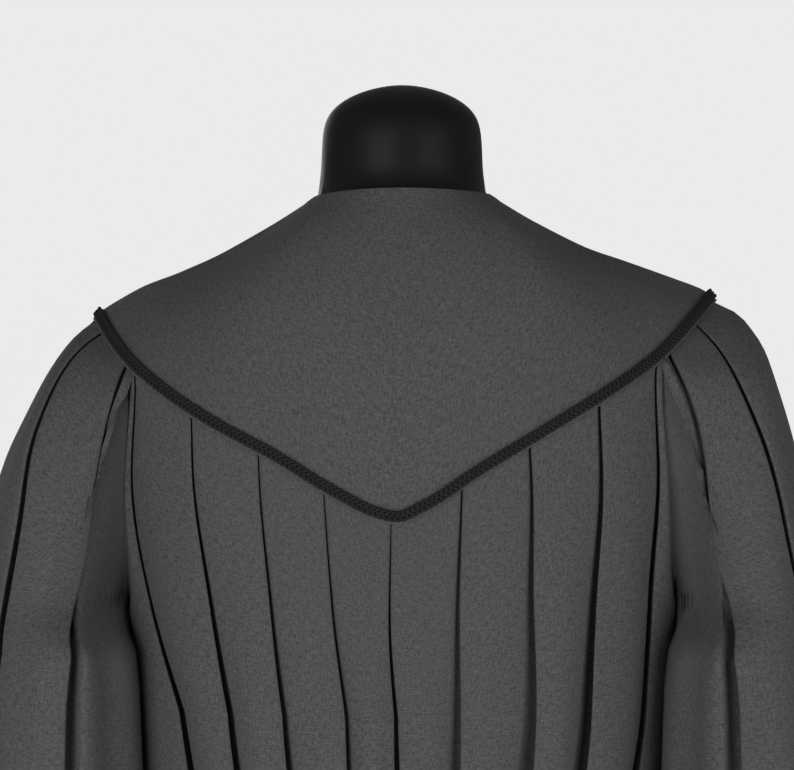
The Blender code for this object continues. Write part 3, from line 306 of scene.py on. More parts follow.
# How finely the cloth is made
YOKE_COLUMNS = 120
YOKE_ROWS = 44
UPPER_ROWS = 25  # so that the underarm is one of them
LOWER_ROWS = 76
STRETCH_POINTS = 11
SLEEVE_UPPER_ROWS = 44
SLEEVE_LOWER_ROWS = 56
SLEEVE_STRETCHES = (26, 22, 26, 22)
CLOTH_EDGE_DEGREES = 50.0
CORNER_CUT = 0.42  # how much of its shorter side each corner of a fold is rounded over
FIRST_ROW = 0.004  # the row just under the yoke's edge

# Soft ridges and troughs laid on the cloth, each along a line. Out is positive for a ridge.
BACK_CREASES = (
    # x and z of its top, x and z of its foot, half width, out
    (-0.115, 1.250, -0.100, 1.080, 0.010, 0.0009),
    (-0.070, 1.200, -0.062, 1.020, 0.009, -0.0008),
    (-0.022, 1.190, -0.020, 0.980, 0.008, 0.0010),
    (0.022, 1.180, 0.020, 0.960, 0.008, 0.0009),
    (0.070, 1.240, 0.066, 1.040, 0.010, -0.0007),
    (0.112, 1.260, 0.108, 1.060, 0.011, 0.0010),
    (-0.148, 1.020, -0.166, 0.560, 0.012, -0.0036),
    (-0.095, 0.930, -0.122, 0.420, 0.013, 0.0040),
    (-0.058, 0.860, -0.078, 0.230, 0.013, -0.0040),
    (-0.020, 0.760, -0.030, 0.210, 0.012, 0.0038),
    (0.026, 0.820, 0.036, 0.210, 0.012, -0.0036),
    (0.060, 0.920, 0.090, 0.240, 0.013, 0.0042),
    (0.104, 0.880, 0.136, 0.350, 0.013, -0.0040),
    (0.140, 1.000, 0.176, 0.480, 0.013, 0.0036),
    (-0.200, 0.700, -0.250, 0.220, 0.016, 0.0044),
    (0.196, 0.720, 0.246, 0.220, 0.016, -0.0042),
)
FRONT_CREASES = (
    # x and z of its top, x and z of its foot, half width, out
    (0.024, 1.230, 0.024, 0.980, 0.008, 0.0009),
    (0.064, 1.240, 0.060, 1.020, 0.009, -0.0008),
    (0.104, 1.250, 0.098, 1.040, 0.010, 0.0009),
    (0.145, 1.240, 0.135, 1.010, 0.010, -0.0008),
    (0.022, 0.900, 0.036, 0.240, 0.011, -0.0034),
    (0.056, 0.860, 0.092, 0.220, 0.013, 0.0040),
    (0.096, 0.900, 0.140, 0.260, 0.013, -0.0040),
    (0.140, 0.960, 0.190, 0.330, 0.014, 0.0040),
    (0.190, 0.700, 0.240, 0.220, 0.016, -0.0040),
)
SLEEVE_CREASES = {
    "left": (
        # angle and z of its top, angle and z of its foot, half width, out
        (8.0, 1.330, 16.0, 1.060, 0.011, 0.0016),
        (70.0, 1.300, 92.0, 1.010, 0.012, -0.0018),
        (96.0, 1.240, 86.0, 0.900, 0.011, 0.0022),
        (30.0, 1.080, 20.0, 0.820, 0.013, -0.0030),
        (66.0, 1.030, 72.0, 0.820, 0.013, 0.0034),
        (150.0, 1.060, 165.0, 0.830, 0.014, 0.0030),
    ),
    "right": (
        # the same columns
        (14.0, 1.310, 8.0, 1.040, 0.011, -0.0014),
        (60.0, 1.290, 76.0, 1.000, 0.012, 0.0018),
        (90.0, 1.220, 84.0, 0.880, 0.011, -0.0022),
        (24.0, 1.070, 14.0, 0.820, 0.013, 0.0030),
        (58.0, 1.020, 68.0, 0.820, 0.013, -0.0034),
        (150.0, 1.050, 162.0, 0.830, 0.014, 0.0030),
    ),
}
SLEEVE_RADIUS = 0.080  # turns an angle round the sleeve into a run along it
CREASE_TAPER = 1.5
# The slight unevenness of hanging cloth, as waves across and down it
WANDER = (
    # waves a metre across, waves a metre down, phase, out
    (9.0, 1.1, 0.4, 0.00050),
    (-14.0, 2.3, 1.9, 0.00035),
    (23.0, 3.1, 4.1, 0.00022),
    (5.0, 6.5, 2.7, 0.00020),
)
YOKE_WANDER = 0.6  # the yoke's share of it

HEM_TURN = 0.030  # the turned-up hem and cuff
HEM_DOUBLING = 0.8  # how much thicker the cloth is over it
HEM_TURN_EDGE = 0.002
NECK_ROLL = 0.0050  # the neckline's stitched edge
NECK_ROLL_STEP = 0.0006
NECK_ROLL_EDGE = 0.0016
YOKE_FLAT_SHARE = 0.2  # the yoke lies even this near its neckline and its edge

# Braid: a flat plait of three cords
BRAIDS = (
    # node, part of the yoke
    ("braid_back", "back"),
    ("braid_front_left", "left"),
    ("braid_front_right", "right"),
)
BRAID_INSET = 0.0053
BRAID_SAMPLES = 8  # points for each column of the yoke
ABOVE_EDGE = 0.9
CORD_EDGE_DEGREES = 70.0
CORD_RADIUS = 0.00128
PLAIT_SPREAD = 0.0030
PLAIT_RISE = 0.00055
PLAIT_LENGTH = 0.0120
STEPS_PER_PLAIT = 14
CORD_SIDES = 9
CORDS = 3

# Zip
ZIP_TOP_SHARE = 0.03
TAPE_DEPTH = 0.0016
TAPE_HALF_WIDTH = 0.0140
TAPE_THICK = 0.0008
TAPE_COLUMNS = 8
TAPE_CORD_STEP = 0.0005
TAPE_CORD_WIDTH = 0.0030
TAPE_CORD_FLAT = 0.4
TAPE_SHARE = 0.8  # the tape's thickness beside its solid's
YOKE_LINE_POINTS = 24
LINE_BREAK = 0.02  # between the yoke's part of the centre line and the panel's
LAST_STEP = 0.001
TOOTH_BEVEL = 0.3
TOOTH_EDGE_DEGREES = 30.0
TOOTH_PITCH = 0.0024
TOOTH_SIZE = (0.0026, 0.0012, 0.0018)
TOOTH_REACH = 0.0011
TOOTH_FLOAT = 0.0003
METAL_PIECES = (
    # node, body, bevel
    ("zip_slider", BODY_NAME, 0.00030),
    ("zip_pull", PULL_BODY, 0.00022),
)

# Stand
BASE_PROFILE = (
    # radius, z
    (0.0000, 0.0000),
    (0.1880, 0.0000),
    (0.1900, 0.0020),
    (0.1900, 0.0080),
    (0.1860, 0.0110),
    (0.0340, 0.0160),
    (0.0275, 0.0200),
    (0.0260, 0.0260),
    (0.0240, 0.0590),
    (0.0230, 0.0600),
    (0.0000, 0.0600),
)
POLE_PROFILE = (
    # radius, z
    (0.0000, 0.0603),
    (0.0150, 0.0603),
    (0.0160, 0.0613),
    (0.0160, 0.0990),
    (0.0157, 0.0996),
    (0.0157, 0.7800),
    (0.0160, 0.7806),
    (0.0160, 0.7987),
    (0.0150, 0.7997),
    (0.0000, 0.7997),
)
TURNED_PIECES = (
    # name, node, profile, bevel
    ("stand_foot_turned", "stand_base", BASE_PROFILE, 0.0006),
    ("stand_pole_turned", "stand_pole", POLE_PROFILE, 0.0002),
)
TURN_STEPS = 96
AXIS_MERGE = 1e-5
POINT_MERGE = 1e-6
PROFILE_CORNER_DEGREES = 30
TURNED_EDGE_DEGREES = 40.0
FLAT_DEGREES = 0.5
METAL_CORNER_DEGREES = 25
METAL_EDGE_DEGREES = 35
FORM_SQUARE_DEGREES = 40
FORM_EDGE_DEGREES = 60

# Values of the finishes
GOWN_CLOTH = {"roughness": 0.9, "thread": 0.00045, "low": 0.30, "high": 1.70, "sheen": 0.015}
ZIP_TAPE = {"roughness": 0.8, "thread": 0.0006, "low": 0.7, "high": 1.3, "sheen": 0.1}
HARD_FINISHES = {
    # roughness, how far it wanders, scale of its patches, bump, other values
    "black zip teeth": (0.38, 0.10, 60.0, 0.10, {}),
    "satin zip metal": (0.32, 0.16, 300.0, 0.12, {"Metallic": 1.0}),
    "black gloss form": (0.46, 0.08, 14.0, 0.02, {"Specular_IOR_Level": 0.12}),
    "black painted steel": (0.42, 0.12, 40.0, 0.25, {}),
}
CLOTH_SPECULAR = 0.2
YARN_SCALE = 800.0
YARN_STRETCH = 0.22
YARN_ROUGH = 0.6
BLOTCH_SCALE = 620.0
WEAVE_BUMP = 0.35
SPECK_SCALE = 1400.0
SPECK_DEPTH = 0.0002
MASK_LOW = 0.30
MASK_HIGH = 0.70
HARD_TONES = (0.9, 1.1)
CORD_ROUGHNESS = 0.75
CORD_SPECULAR = 0.15
# How far the braid's colour falls in the painted shade of the ply grooves and rises in the painted highlight
# on the ply crowns
CORD_SHADE_AND_HIGHLIGHT_TONES = (0.55, 1.9)
CORD_BUMP = 0.6
CORD_BUMP_DEPTH = 0.0004
PLY_SLANT = 0.7
PLY_PITCH = 0.0011
FIBRE_SCALE = 2200.0
FIBRE_STRETCH = 6.0

# Camera, level with the gown's shoulders, and the studio
CAMERA_PLACE = (-0.00375, -3.0, 1.357)
CAMERA_LENS = 181.4
CAMERA_SENSOR = 36.0
LIGHTS = (
    # name, its power's setting, radius, place
    ("key", "key_power", 2.0, (-1.7, -3.1, 0.95)),
    ("fill", "fill_power", 2.2, (2.3, -2.6, 0.95)),
    ("front", "front_power", 2.6, (-0.6, 3.2, 1.2)),
)
LIGHTS_AIM = (0.0, 0.0, 1.15)
FLOOR_COLOUR = (0.80, 0.80, 0.80)
FLOOR_ROUGHNESS = 0.7
FLOOR_TONES = (0.985, 1.015)
FLOOR_PATCH_SCALE = 6.0
FLOOR_RADIUS = 2.6
FLOOR_SIDES = 128


# Curves and tables
def level_slopes(knots, values):
    """The slope at each row of a table, level at a peak, so that the curve never swings past its rows."""
    rises = np.diff(values, axis=0) / np.diff(knots)[:, None]
    before, after = rises[:-1], rises[1:]
    total = np.where(before + after == 0, 1.0, before + after)
    inner = np.where(before * after > 0, 2 * before * after / total, 0.0)
    return np.vstack([rises[:1], inner, rises[-1:]])


def flowing_slopes(knots, values):
    """The slope at each row of a table that a smooth curve through its neighbours has."""
    return np.gradient(values, knots, axis=0)


def read_curve(table, at, slopes=level_slopes):
    """The columns of a table after its first, at any place along the first, on a smooth curve."""
    table = np.asarray(table, float)
    knots, values = table[:, 0], table[:, 1:]
    at = np.clip(np.asarray(at, float), knots[0], knots[-1])
    low = np.clip(np.searchsorted(knots, at, side="right") - 1, 0, len(knots) - 2)
    width = (knots[low + 1] - knots[low])[..., None]
    share = (at - knots[low])[..., None] / width
    lean = slopes(knots, values)
    return (
        (2 * share**3 - 3 * share**2 + 1) * values[low]
        + (share**3 - 2 * share**2 + share) * width * lean[low]
        + (3 * share**2 - 2 * share**3) * values[low + 1]
        + (share**3 - share**2) * width * lean[low + 1]
    )


def ease(share):
    share = np.clip(share, 0.0, 1.0)
    return share * share * (3 - 2 * share)


def unit(vectors):
    return vectors / np.maximum(np.linalg.norm(vectors, axis=-1, keepdims=True), 1e-12)


def run_lengths(points):
    return np.concatenate([[0.0], np.cumsum(np.linalg.norm(np.diff(points, axis=0), axis=-1))])


def along(points, share):
    """Points at given shares of a polyline's length."""
    places = run_lengths(points)
    at = np.asarray(share, float) * places[-1]
    return np.stack([np.interp(at, places, points[:, axis]) for axis in range(3)], axis=-1)


def wander(across, down):
    """How far hanging cloth stands off its plain form, at places across and down it."""
    out = 0.0 * across
    for wide, tall, phase, height in WANDER:
        out = out + height * np.sin(2 * np.pi * (wide * across + tall * down) + phase)
    return out


def creased(across, down, creases):
    """The sum of the ridges and troughs at places across and down the cloth."""
    out = 0.0 * across
    for top_across, top, foot_across, foot, half_width, height in creases:
        run_across, run_down = foot_across - top_across, foot - top
        length = math.hypot(run_across, run_down)
        share = ((across - top_across) * run_across + (down - top) * run_down) / length**2
        off = (across - top_across) * run_down - (down - top) * run_across
        reach = np.sin(np.pi * np.clip(share, 0, 1)) ** CREASE_TAPER
        out = out + height * reach * np.exp(-((off / length / half_width) ** 2))
    return out


# The yoke
def side_sign(side):
    return -1.0 if side == "left" else 1.0


def front_edge_rows(side):
    tip = BACK_EDGE[0] if side == "left" else BACK_EDGE[-1]
    lift = tip[2] - BACK_EDGE[0][2]
    rows = [tip]
    rows += [(side_sign(side) * x, y, z + lift * fade) for (x, y, z), fade in zip(FRONT_EDGE, TIP_LIFT_FADE)]
    return rows


def edge_table(rows):
    points = np.array(rows, float)
    places = run_lengths(points)
    return np.column_stack([places / places[-1], points])


EDGES = {
    "back": edge_table(BACK_EDGE),
    "left": edge_table(front_edge_rows("left")),
    "right": edge_table(front_edge_rows("right")),
}


def yoke_edge(part, across):
    return read_curve(EDGES[part], across, flowing_slopes)


def neckline(part, across):
    """The neckline across the back from left to right, or from a shoulder to the centre front."""
    if part == "back":
        turn = np.pi * across
        side_z = NECK_SIDE_Z["left"] + (NECK_SIDE_Z["right"] - NECK_SIDE_Z["left"]) * across
        x = -NECK_HALF_WIDTH * np.cos(turn)
        y = NECK_SIDE_Y - (NECK_BACK + NECK_SIDE_Y) * np.sin(turn)
        z = side_z + (NECK_BACK_Z - side_z) * np.sin(turn) ** 2
    else:
        turn = 0.5 * np.pi * across
        x = side_sign(part) * (CENTRE_GAP + (NECK_HALF_WIDTH - CENTRE_GAP) * np.cos(turn))
        y = NECK_SIDE_Y + (NECK_FRONT - NECK_SIDE_Y) * np.sin(turn)
        z = NECK_SIDE_Z[part] - (NECK_SIDE_Z[part] - NECK_FRONT_Z) * across**NECK_FRONT_FALL
    return np.stack([x, y, z], axis=-1)


def yoke_surface(part, across, down):
    """The yoke's outer face: across runs along its edge, and down from the neckline to the edge."""
    across, down = np.broadcast_arrays(np.asarray(across, float), np.asarray(down, float))
    start, end = neckline(part, across), yoke_edge(part, across)
    rise = read_curve(SHOULDER_RISE, down)
    crown = read_curve(YOKE_CROWN, down, flowing_slopes)
    point = start + (end - start) * down[..., None]
    if part == "back":
        blend = ease(np.minimum(across, 1 - across) / SHOULDER_BLEND)
        side_rise = np.where(across < 0.5, rise[..., 0], rise[..., 1])
        out, up = -crown[..., 0], crown[..., 1]
    else:
        blend = ease(across / CHEST_BLEND)
        side_rise = rise[..., 0] if part == "left" else rise[..., 1]
        out, up = crown[..., 2], crown[..., 3]
    point[..., 1] += blend * out
    point[..., 2] += blend * up + (1 - blend) * side_rise
    return point


def yoke_normal(part, across, down):
    """The outward normal of the yoke, level along X at the shoulder seams and along Y at the centre front."""
    across, down = np.broadcast_arrays(np.asarray(across, float), np.asarray(down, float))
    low, high = np.clip(across - NORMAL_STEP, 0, 1), np.clip(across + NORMAL_STEP, 0, 1)
    top, foot = np.clip(down - NORMAL_STEP, 0, 1), np.clip(down + NORMAL_STEP, 0, 1)
    sideways = yoke_surface(part, high, down) - yoke_surface(part, low, down)
    downwards = yoke_surface(part, across, foot) - yoke_surface(part, across, top)
    normal = unit(np.cross(sideways, downwards))
    away = yoke_surface(part, across, down) - np.array(YOKE_MIDDLE)
    facing = np.sign((away * normal).sum(-1))[..., None]
    normal = normal * facing
    shoulder = across < END_SHARE
    if part == "back":
        shoulder = shoulder | (across > 1 - END_SHARE)
    else:
        normal[..., 0] = np.where(across > 1 - END_SHARE, 0.0, normal[..., 0])
    normal[..., 1] = np.where(shoulder, 0.0, normal[..., 1])
    return unit(normal)


def shoulder_gap(part, across):
    """The move along Y that opens the shoulder seam between the back yoke and the front yokes."""
    toward = -1.0 if part == "back" else 1.0
    ends = (across < END_SHARE) | ((part == "back") & (across > 1 - END_SHARE))
    return toward * 0.5 * SEAM_GAP * ends


def across_at(part, x):
    """How far along the yoke's edge a given X lies."""
    across = np.linspace(0, 1, EDGE_SAMPLES)
    edge = yoke_edge(part, across)[:, 0]
    order = np.argsort(edge)
    return np.interp(x, edge[order], across[order])


# Cloth walls
def grid_normals(grid, closed=False):
    """The normal at each point of a grid, from the faces round it."""
    if closed:
        wide = np.concatenate([grid[:, -1:], grid, grid[:, :1]], axis=1)
    else:
        before, after = 2 * grid[:, :1] - grid[:, 1:2], 2 * grid[:, -1:] - grid[:, -2:-1]
        wide = np.concatenate([before, grid, after], axis=1)
    above, below = 2 * wide[:1] - wide[1:2], 2 * wide[-1:] - wide[-2:-1]
    tall = np.concatenate([above, wide, below], axis=0)
    faces = unit(np.cross(tall[1:, 1:] - tall[:-1, :-1], tall[1:, :-1] - tall[:-1, 1:]))
    return unit(faces[:-1, :-1] + faces[1:, :-1] + faces[:-1, 1:] + faces[1:, 1:])


def cloth_sheet(name, outer, normals, thickness, closed=False):
    """A wall of cloth under a grid of outer points, with a map in metres across and down the cloth."""
    rows, columns = outer.shape[:2]
    inner = outer - normals * np.broadcast_to(thickness, (rows, columns))[..., None]
    points = np.concatenate([outer.reshape(-1, 3), inner.reshape(-1, 3)])
    count = rows * columns
    wrapped = np.concatenate([outer, outer[:, :1]], axis=1) if closed else outer
    across = np.stack([run_lengths(row) for row in wrapped])
    across -= across[:, -1:] / 2
    down = np.mean([run_lengths(column) for column in outer.transpose(1, 0, 2)], axis=0)
    faces, corners = [], []

    def add_face(places, marks):
        faces.append(places)
        corners.extend((across[row, column], -down[row]) for row, column in marks)

    last = columns if closed else columns - 1
    for row in range(rows - 1):
        for column in range(last):
            beside = (column + 1) % columns
            places = (row * columns + column, row * columns + beside)
            places += ((row + 1) * columns + beside, (row + 1) * columns + column)
            marks = ((row, column), (row, column + 1), (row + 1, column + 1), (row + 1, column))
            add_face(places, marks)
            add_face(tuple(count + place for place in reversed(places)), tuple(reversed(marks)))
    for row in (0, rows - 1):
        for column in range(last):
            beside = (column + 1) % columns
            first, second = row * columns + column, row * columns + beside
            marks = ((row, column), (row, column), (row, column + 1), (row, column + 1))
            places = (first, first + count, second + count, second)
            add_face(places if row == 0 else places[::-1], marks if row == 0 else marks[::-1])
    if not closed:
        for column in (0, columns - 1):
            for row in range(rows - 1):
                first, second = row * columns + column, (row + 1) * columns + column
                marks = ((row, column), (row + 1, column), (row + 1, column), (row, column))
                places = (first, second, second + count, first + count)
                add_face(places if column == 0 else places[::-1], marks if column == 0 else marks[::-1])
    return made_mesh(name, points, faces, corners)


def made_mesh(name, points, faces, corners=None, edge_degrees=CLOTH_EDGE_DEGREES):
    """A smooth-shaded object from points, faces and the map's place of every face corner, facing outwards."""
    mesh = bpy.data.meshes.new(name)
    mesh.from_pydata([tuple(point) for point in points], [], faces)
    if corners is not None:
        layer = mesh.uv_layers.new(name="Cloth")
        layer.data.foreach_set("uv", np.array(corners, np.float32).ravel())
    mesh.update()
    made = bpy.data.objects.new(name, mesh)
    bpy.context.scene.collection.objects.link(made)
    select_only(made)
    if signed_volume(mesh) < 0:
        mesh.flip_normals()
    mesh.shade_smooth()
    mesh.set_sharp_from_angle(angle=math.radians(edge_degrees))
    return made


def signed_volume(mesh):
    """The volume that a closed mesh holds, negative where its faces point inwards."""
    mesh.calc_loop_triangles()
    corners = np.empty(len(mesh.loop_triangles) * 3, np.int32)
    mesh.loop_triangles.foreach_get("vertices", corners)
    places = np.empty(len(mesh.vertices) * 3)
    mesh.vertices.foreach_get("co", places)
    first, second, third = places.reshape(-1, 3)[corners.reshape(-1, 3)].transpose(1, 0, 2)
    return (first * np.cross(second, third)).sum() / 6


def select_only(*objects):
    """Only these objects are selected, and the last one is active."""
    bpy.ops.object.select_all(action="DESELECT")
    for each in objects:
        each.select_set(True)
        bpy.context.view_layer.objects.active = each


def settle(piece, body, slot, finish, *nodes):
    """A finished piece takes its material and its body, and the nodes that it stands for are hidden. Its slot
    is not used.
    """
    piece.data.materials.clear()
    piece.data.materials.append(finish)
    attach(piece, body)
    if nodes:
        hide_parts(*nodes)
    return piece


# Folds
def knife_pleat(underlap, depth, pocket, mouth):
    """A knife pleat whose upper layer lies on +, as places along the cloth and out of it."""
    half = mouth / 2
    floor = -depth - FLOOR_SLOPE * underlap
    under = -LAYER_STEP - UNDER_SLOPE * (depth - FOLD_DEPTH)
    return [
        (-half - BEFORE_MOUTH, -LIP_DROP - LIP_SLOPE * depth),
        (-half, -WALL_SHARE * depth),
        (LIP_IN - half * FOOT_SHARE, -depth),
        (underlap, floor),
        (underlap + POCKET_SLOPE * pocket, floor + pocket),
        (half + UNDER_EDGE, under),
        (half - LIP_IN, -LAYER_STEP / 2),
        (half + AFTER_MOUTH, 0.0),
    ]


def pleat_profile(facing, sizes):
    pleat = knife_pleat(*sizes)
    mirrored = [(-at, out) for at, out in reversed(pleat)]
    if facing > 0:
        return np.array(pleat)
    if facing < 0:
        return np.array(mirrored)
    middle = (0.0, pleat[FLOOR_POINT][1] - FLOOR_SAG)
    return np.array(mirrored[: len(pleat) - FLOOR_POINT] + [middle] + pleat[FLOOR_POINT:])


def rounded(row, corners, length):
    """A row of places and outs with each corner turned into a short curve. A closed row has its length."""
    before, after = np.roll(row, 1, axis=0), np.roll(row, -1, axis=0)
    before[0, 0] -= length
    after[-1, 0] += length
    points = []
    for point, corner, earlier, later in zip(row, corners, before, after):
        if not corner:
            points.append(point)
            continue
        start = point + (earlier - point) * CORNER_CUT
        end = point + (later - point) * CORNER_CUT
        points += [start, (start + 2 * point + end) / 4, end]
    return np.array(points)


def folded_row(base, lean, places, folds, crown, stretches, relief, closed=False):
    """A row of cloth points along a base row, with each pleat's layers and points on the stretches between.

    folds holds (place along the row, profile) in order, stretches how many points lie between two pleats, and
    relief how far the cloth stands out at each point of the base row.
    """
    row, corners = [], []
    length = places[-1]

    def add_stretch(start, end, count):
        for share in np.arange(1, count + 1) / (count + 1):
            rise = crown * math.sin(math.pi * share)
            out = start[1] + (end[1] - start[1]) * share + rise
            row.append((start[0] + (end[0] - start[0]) * share, out))
            corners.append(False)

    ends = [(place + profile[0, 0], profile[0, 1]) for place, profile in folds]
    starts = [(place + profile[-1, 0], profile[-1, 1]) for place, profile in folds]
    if not closed:
        row.append((0.0, 0.0))
        corners.append(False)
        add_stretch((0.0, 0.0), ends[0], stretches[0])
    for number, (place, profile) in enumerate(folds):
        row.extend(zip(place + profile[:, 0], profile[:, 1]))
        corners.extend([True] * len(profile))
        if number + 1 < len(folds):
            add_stretch(starts[number], ends[number + 1], stretches[number + (not closed)])
    if closed:
        add_stretch(starts[-1], (ends[0][0] + length, ends[0][1]), stretches[-1])
    else:
        add_stretch(starts[-1], (length, 0.0), stretches[-1])
        row.append((length, 0.0))
        corners.append(False)
    at, out = rounded(np.array(row), corners, length if closed else 0.0).T
    where = at % length if closed else at
    out = out + np.interp(where, places, relief)
    points = np.stack([np.interp(where, places, base[:, axis]) for axis in range(3)], axis=1)
    normals = unit(np.stack([np.interp(where, places, lean[:, axis]) for axis in range(3)], axis=1))
    return points + normals * out[:, None]


# The body panels
def body_oval(angle, height, front):
    """A point of the body's plain outline, at an angle from the centre back or the centre front."""
    width, back, chest = np.moveaxis(read_curve(BODY, height, flowing_slopes), -1, 0)
    turn = np.radians(np.clip(angle, -90, 90))
    x = width * np.sign(turn) * np.abs(np.sin(turn)) ** (2 / OVAL)
    y = (chest if front else -back) * np.abs(np.cos(turn)) ** (2 / OVAL)
    return np.stack([x, y, height + 0 * x], axis=-1)


def angle_of(x, height):
    width = read_curve(BODY, height, flowing_slopes)[..., 0]
    return np.degrees(np.sign(x) * np.arcsin(np.clip(np.abs(x) / width, 0, 1) ** (OVAL / 2)))


def armhole_angle(corner, place):
    """The armhole's angle round the body: it leaves the yoke's edge upright and is round at the underarm."""
    share = np.clip(place / UNDERARM_PLACE, 0, 1)
    side = math.copysign(90.0, corner)
    return corner + (side - corner) * (1 - math.sqrt(1 - share**2))


def height_at(edge_z, place, end_z):
    if place <= 1:
        return edge_z + (LEVEL_Z - edge_z) * place
    return LEVEL_Z + (end_z - LEVEL_Z) * (place - 1) + 0 * edge_z


def centre_gap(height):
    """Half the gap at the centre front, open along the zip and drawn together below it."""
    open_share = ease((height - ZIP_END_Z + CLOSING_RUN) / CLOSING_RUN)
    return CLOSED_GAP + (CENTRE_GAP - CLOSED_GAP) * open_share


def make_panel(part, pleats, left_x, right_x):
    """What a panel's rows need: its guides at the yoke's edge and the angles that they follow down."""
    guide_x = np.array([left_x] + [pleat[1] for pleat in pleats] + [right_x])
    marks = np.arange(len(guide_x), dtype=float)
    dense = np.linspace(0, marks[-1], GUIDE_SAMPLES * (len(marks) - 1) + 1)
    edge_x = read_curve(np.column_stack([marks, guide_x]), dense)[:, 0]
    across = across_at(part, edge_x)
    edge = yoke_surface(part, across, 1.0)
    lap = yoke_surface(part, across, LAP_SHARE) - LAP_DEPTH * yoke_normal(part, across, LAP_SHARE)
    front = part != "back"
    plain = body_oval(angle_of(edge[:, 0], edge[:, 2]), edge[:, 2], front)
    offset = edge - LAP_DEPTH * yoke_normal(part, across, 1.0) - plain
    mirror = side_sign(part) if front else 1.0
    creases = [(mirror * x, z, mirror * foot_x, *rest) for x, z, foot_x, *rest in FRONT_CREASES]
    return {
        "front": front,
        "pleats": pleats,
        "marks": marks,
        "dense": dense,
        "edge": edge,
        "lap": lap,
        "offset": offset,
        "guides": [edge[GUIDE_SAMPLES * number] for number in range(len(marks))],
        "creases": creases if front else BACK_CREASES,
    }


def side_angle(panel, guide, place):
    """The angle of a panel's side: an armhole and side seam, or the centre front."""
    x, _, z = guide
    if panel["front"] and abs(x) < 2 * CENTRE_GAP:
        height = height_at(z, place, HEM_Z)
        return float(angle_of(math.copysign(centre_gap(height), x), height))
    return armhole_angle(float(angle_of(x, z)), place)


def guide_angles(panel, place):
    guides = panel["guides"]
    angles = [side_angle(panel, guides[0], place)]
    for (_, _, half_x, level_x, waist_x, hem_x, _, _), (x, _, z) in zip(panel["pleats"], guides[1:-1]):
        table = [
            (0.0, angle_of(x, z)),
            (0.5, angle_of(half_x, (z + LEVEL_Z) / 2)),
            (1.0, angle_of(level_x, LEVEL_Z)),
            (WAIST_PLACE, angle_of(waist_x, height_at(z, WAIST_PLACE, HEM_Z))),
            (2.0, angle_of(hem_x, HEM_Z)),
        ]
        angles.append(float(read_curve(table, place)[0]))
    angles.append(side_angle(panel, guides[-1], place))
    return np.array(angles)


def panel_base(panel, place):
    """A panel's plain row, before its pleats."""
    if place == 0:
        return panel["lap"]
    angles = read_curve(np.column_stack([panel["marks"], guide_angles(panel, place)]), panel["dense"])[:, 0]
    heights = height_at(panel["edge"][:, 2], place, HEM_Z)
    fade = max(0.0, 1 - place) ** 2
    return body_oval(angles, heights, panel["front"]) + panel["offset"] * fade


def row_normals(base, below, above):
    """Outward normals of a plain row, from its own run and the rows beside it."""
    normals = unit(np.cross(np.gradient(base, axis=0), below - above))
    out = base * np.array([1.0, 1.0, 0.0])
    return normals * np.sign((normals * out).sum(-1, keepdims=True).sum())


def sides_fade(base):
    """A share that is 0 at a row's two ends, so that ridges and troughs never cross a seam."""
    places = run_lengths(base)
    return ease(np.minimum(places, places[-1] - places) / SIDE_FADE_RUN)


def panel_places():
    upper = np.arange(1, UPPER_ROWS + 1) / UPPER_ROWS
    lower = 1 + np.arange(1, LOWER_ROWS + 1) / LOWER_ROWS
    return [0.0, FIRST_ROW, *upper, *lower]


def panel_grid(panel):
    rows = []
    for place in panel_places():
        base = panel_base(panel, place)
        above = panel_base(panel, max(place - PANEL_LEAN_STEP, 0.0))
        below = panel_base(panel, place + PANEL_LEAN_STEP if place < 2 else place - PANEL_LEAN_STEP)
        if place == 2:
            above, below = below, base
        lean = row_normals(base, below, above)
        places = run_lengths(base)
        folds = []
        for number, (facing, *_, room, openness) in enumerate(panel["pleats"]):
            spot = GUIDE_SAMPLES * (number + 1)
            drop = panel["edge"][spot, 2] - base[spot, 2] if place > 0 else 0.0
            underlap, depth, pocket, mouth = read_curve(PLEAT, drop)
            underlap *= room + (1 - room) * ease(drop / UNDERLAP_RUN)
            sizes = (underlap, depth, pocket, mouth * openness)
            folds.append((places[spot], pleat_profile(facing, sizes)))
        crown = float(read_curve(PANEL_CROWN, place)[0])
        hanging = ease(place / PANEL_HANG) * sides_fade(base)
        x, z = base[:, 0], base[:, 2]
        relief = hanging * (wander(x, z) + creased(x, z, panel["creases"]))
        stretches = [STRETCH_POINTS] * (len(folds) + 1)
        rows.append(folded_row(base, lean, places, folds, crown, stretches, relief))
    grid = np.array(rows)
    normals = grid_normals(grid)
    middle = grid.shape[1] // 2
    if (normals[-1, middle] * grid[-1, middle] * (1, 1, 0)).sum() < 0:
        normals = -normals
    return grid, normals


def settle_sides(grid, normals, front):
    """Open the side seams, and hold the wall's ends in the seam's own plane."""
    toward = 1.0 if front else -1.0
    for place in (0, -1):
        if front and np.abs(grid[:, place, 0]).max() < 4 * CENTRE_GAP:
            normals[:, place, 0] = 0.0
            continue
        seam = np.abs(grid[:, place, 1]) < SEAM_BAND
        grid[seam, place, 1] = toward * 0.5 * SEAM_GAP
        normals[seam, place, 1] = 0.0
    return grid, unit(normals)


def hem_thickness(grid, thickness, end_z):
    """The cloth's thickness at each point: double over the turned-up hem."""
    turned_up = 1 - ease((grid[..., 2] - end_z - HEM_TURN) / HEM_TURN_EDGE)
    return thickness * (1 + HEM_DOUBLING * turned_up)


def panel_table():
    """The three pleated panels by the name of their node."""
    mirrored = tuple((*(-value for value in pleat[:6]), *pleat[6:]) for pleat in FRONT_PLEATS[::-1])
    return {
        "back_panel": make_panel("back", BACK_PLEATS, BACK_CORNERS["left"], BACK_CORNERS["right"]),
        "front_right": make_panel("right", FRONT_PLEATS, CENTRE_GAP, FRONT_CORNER),
        "front_left": make_panel("left", mirrored, -FRONT_CORNER, -CENTRE_GAP),
    }


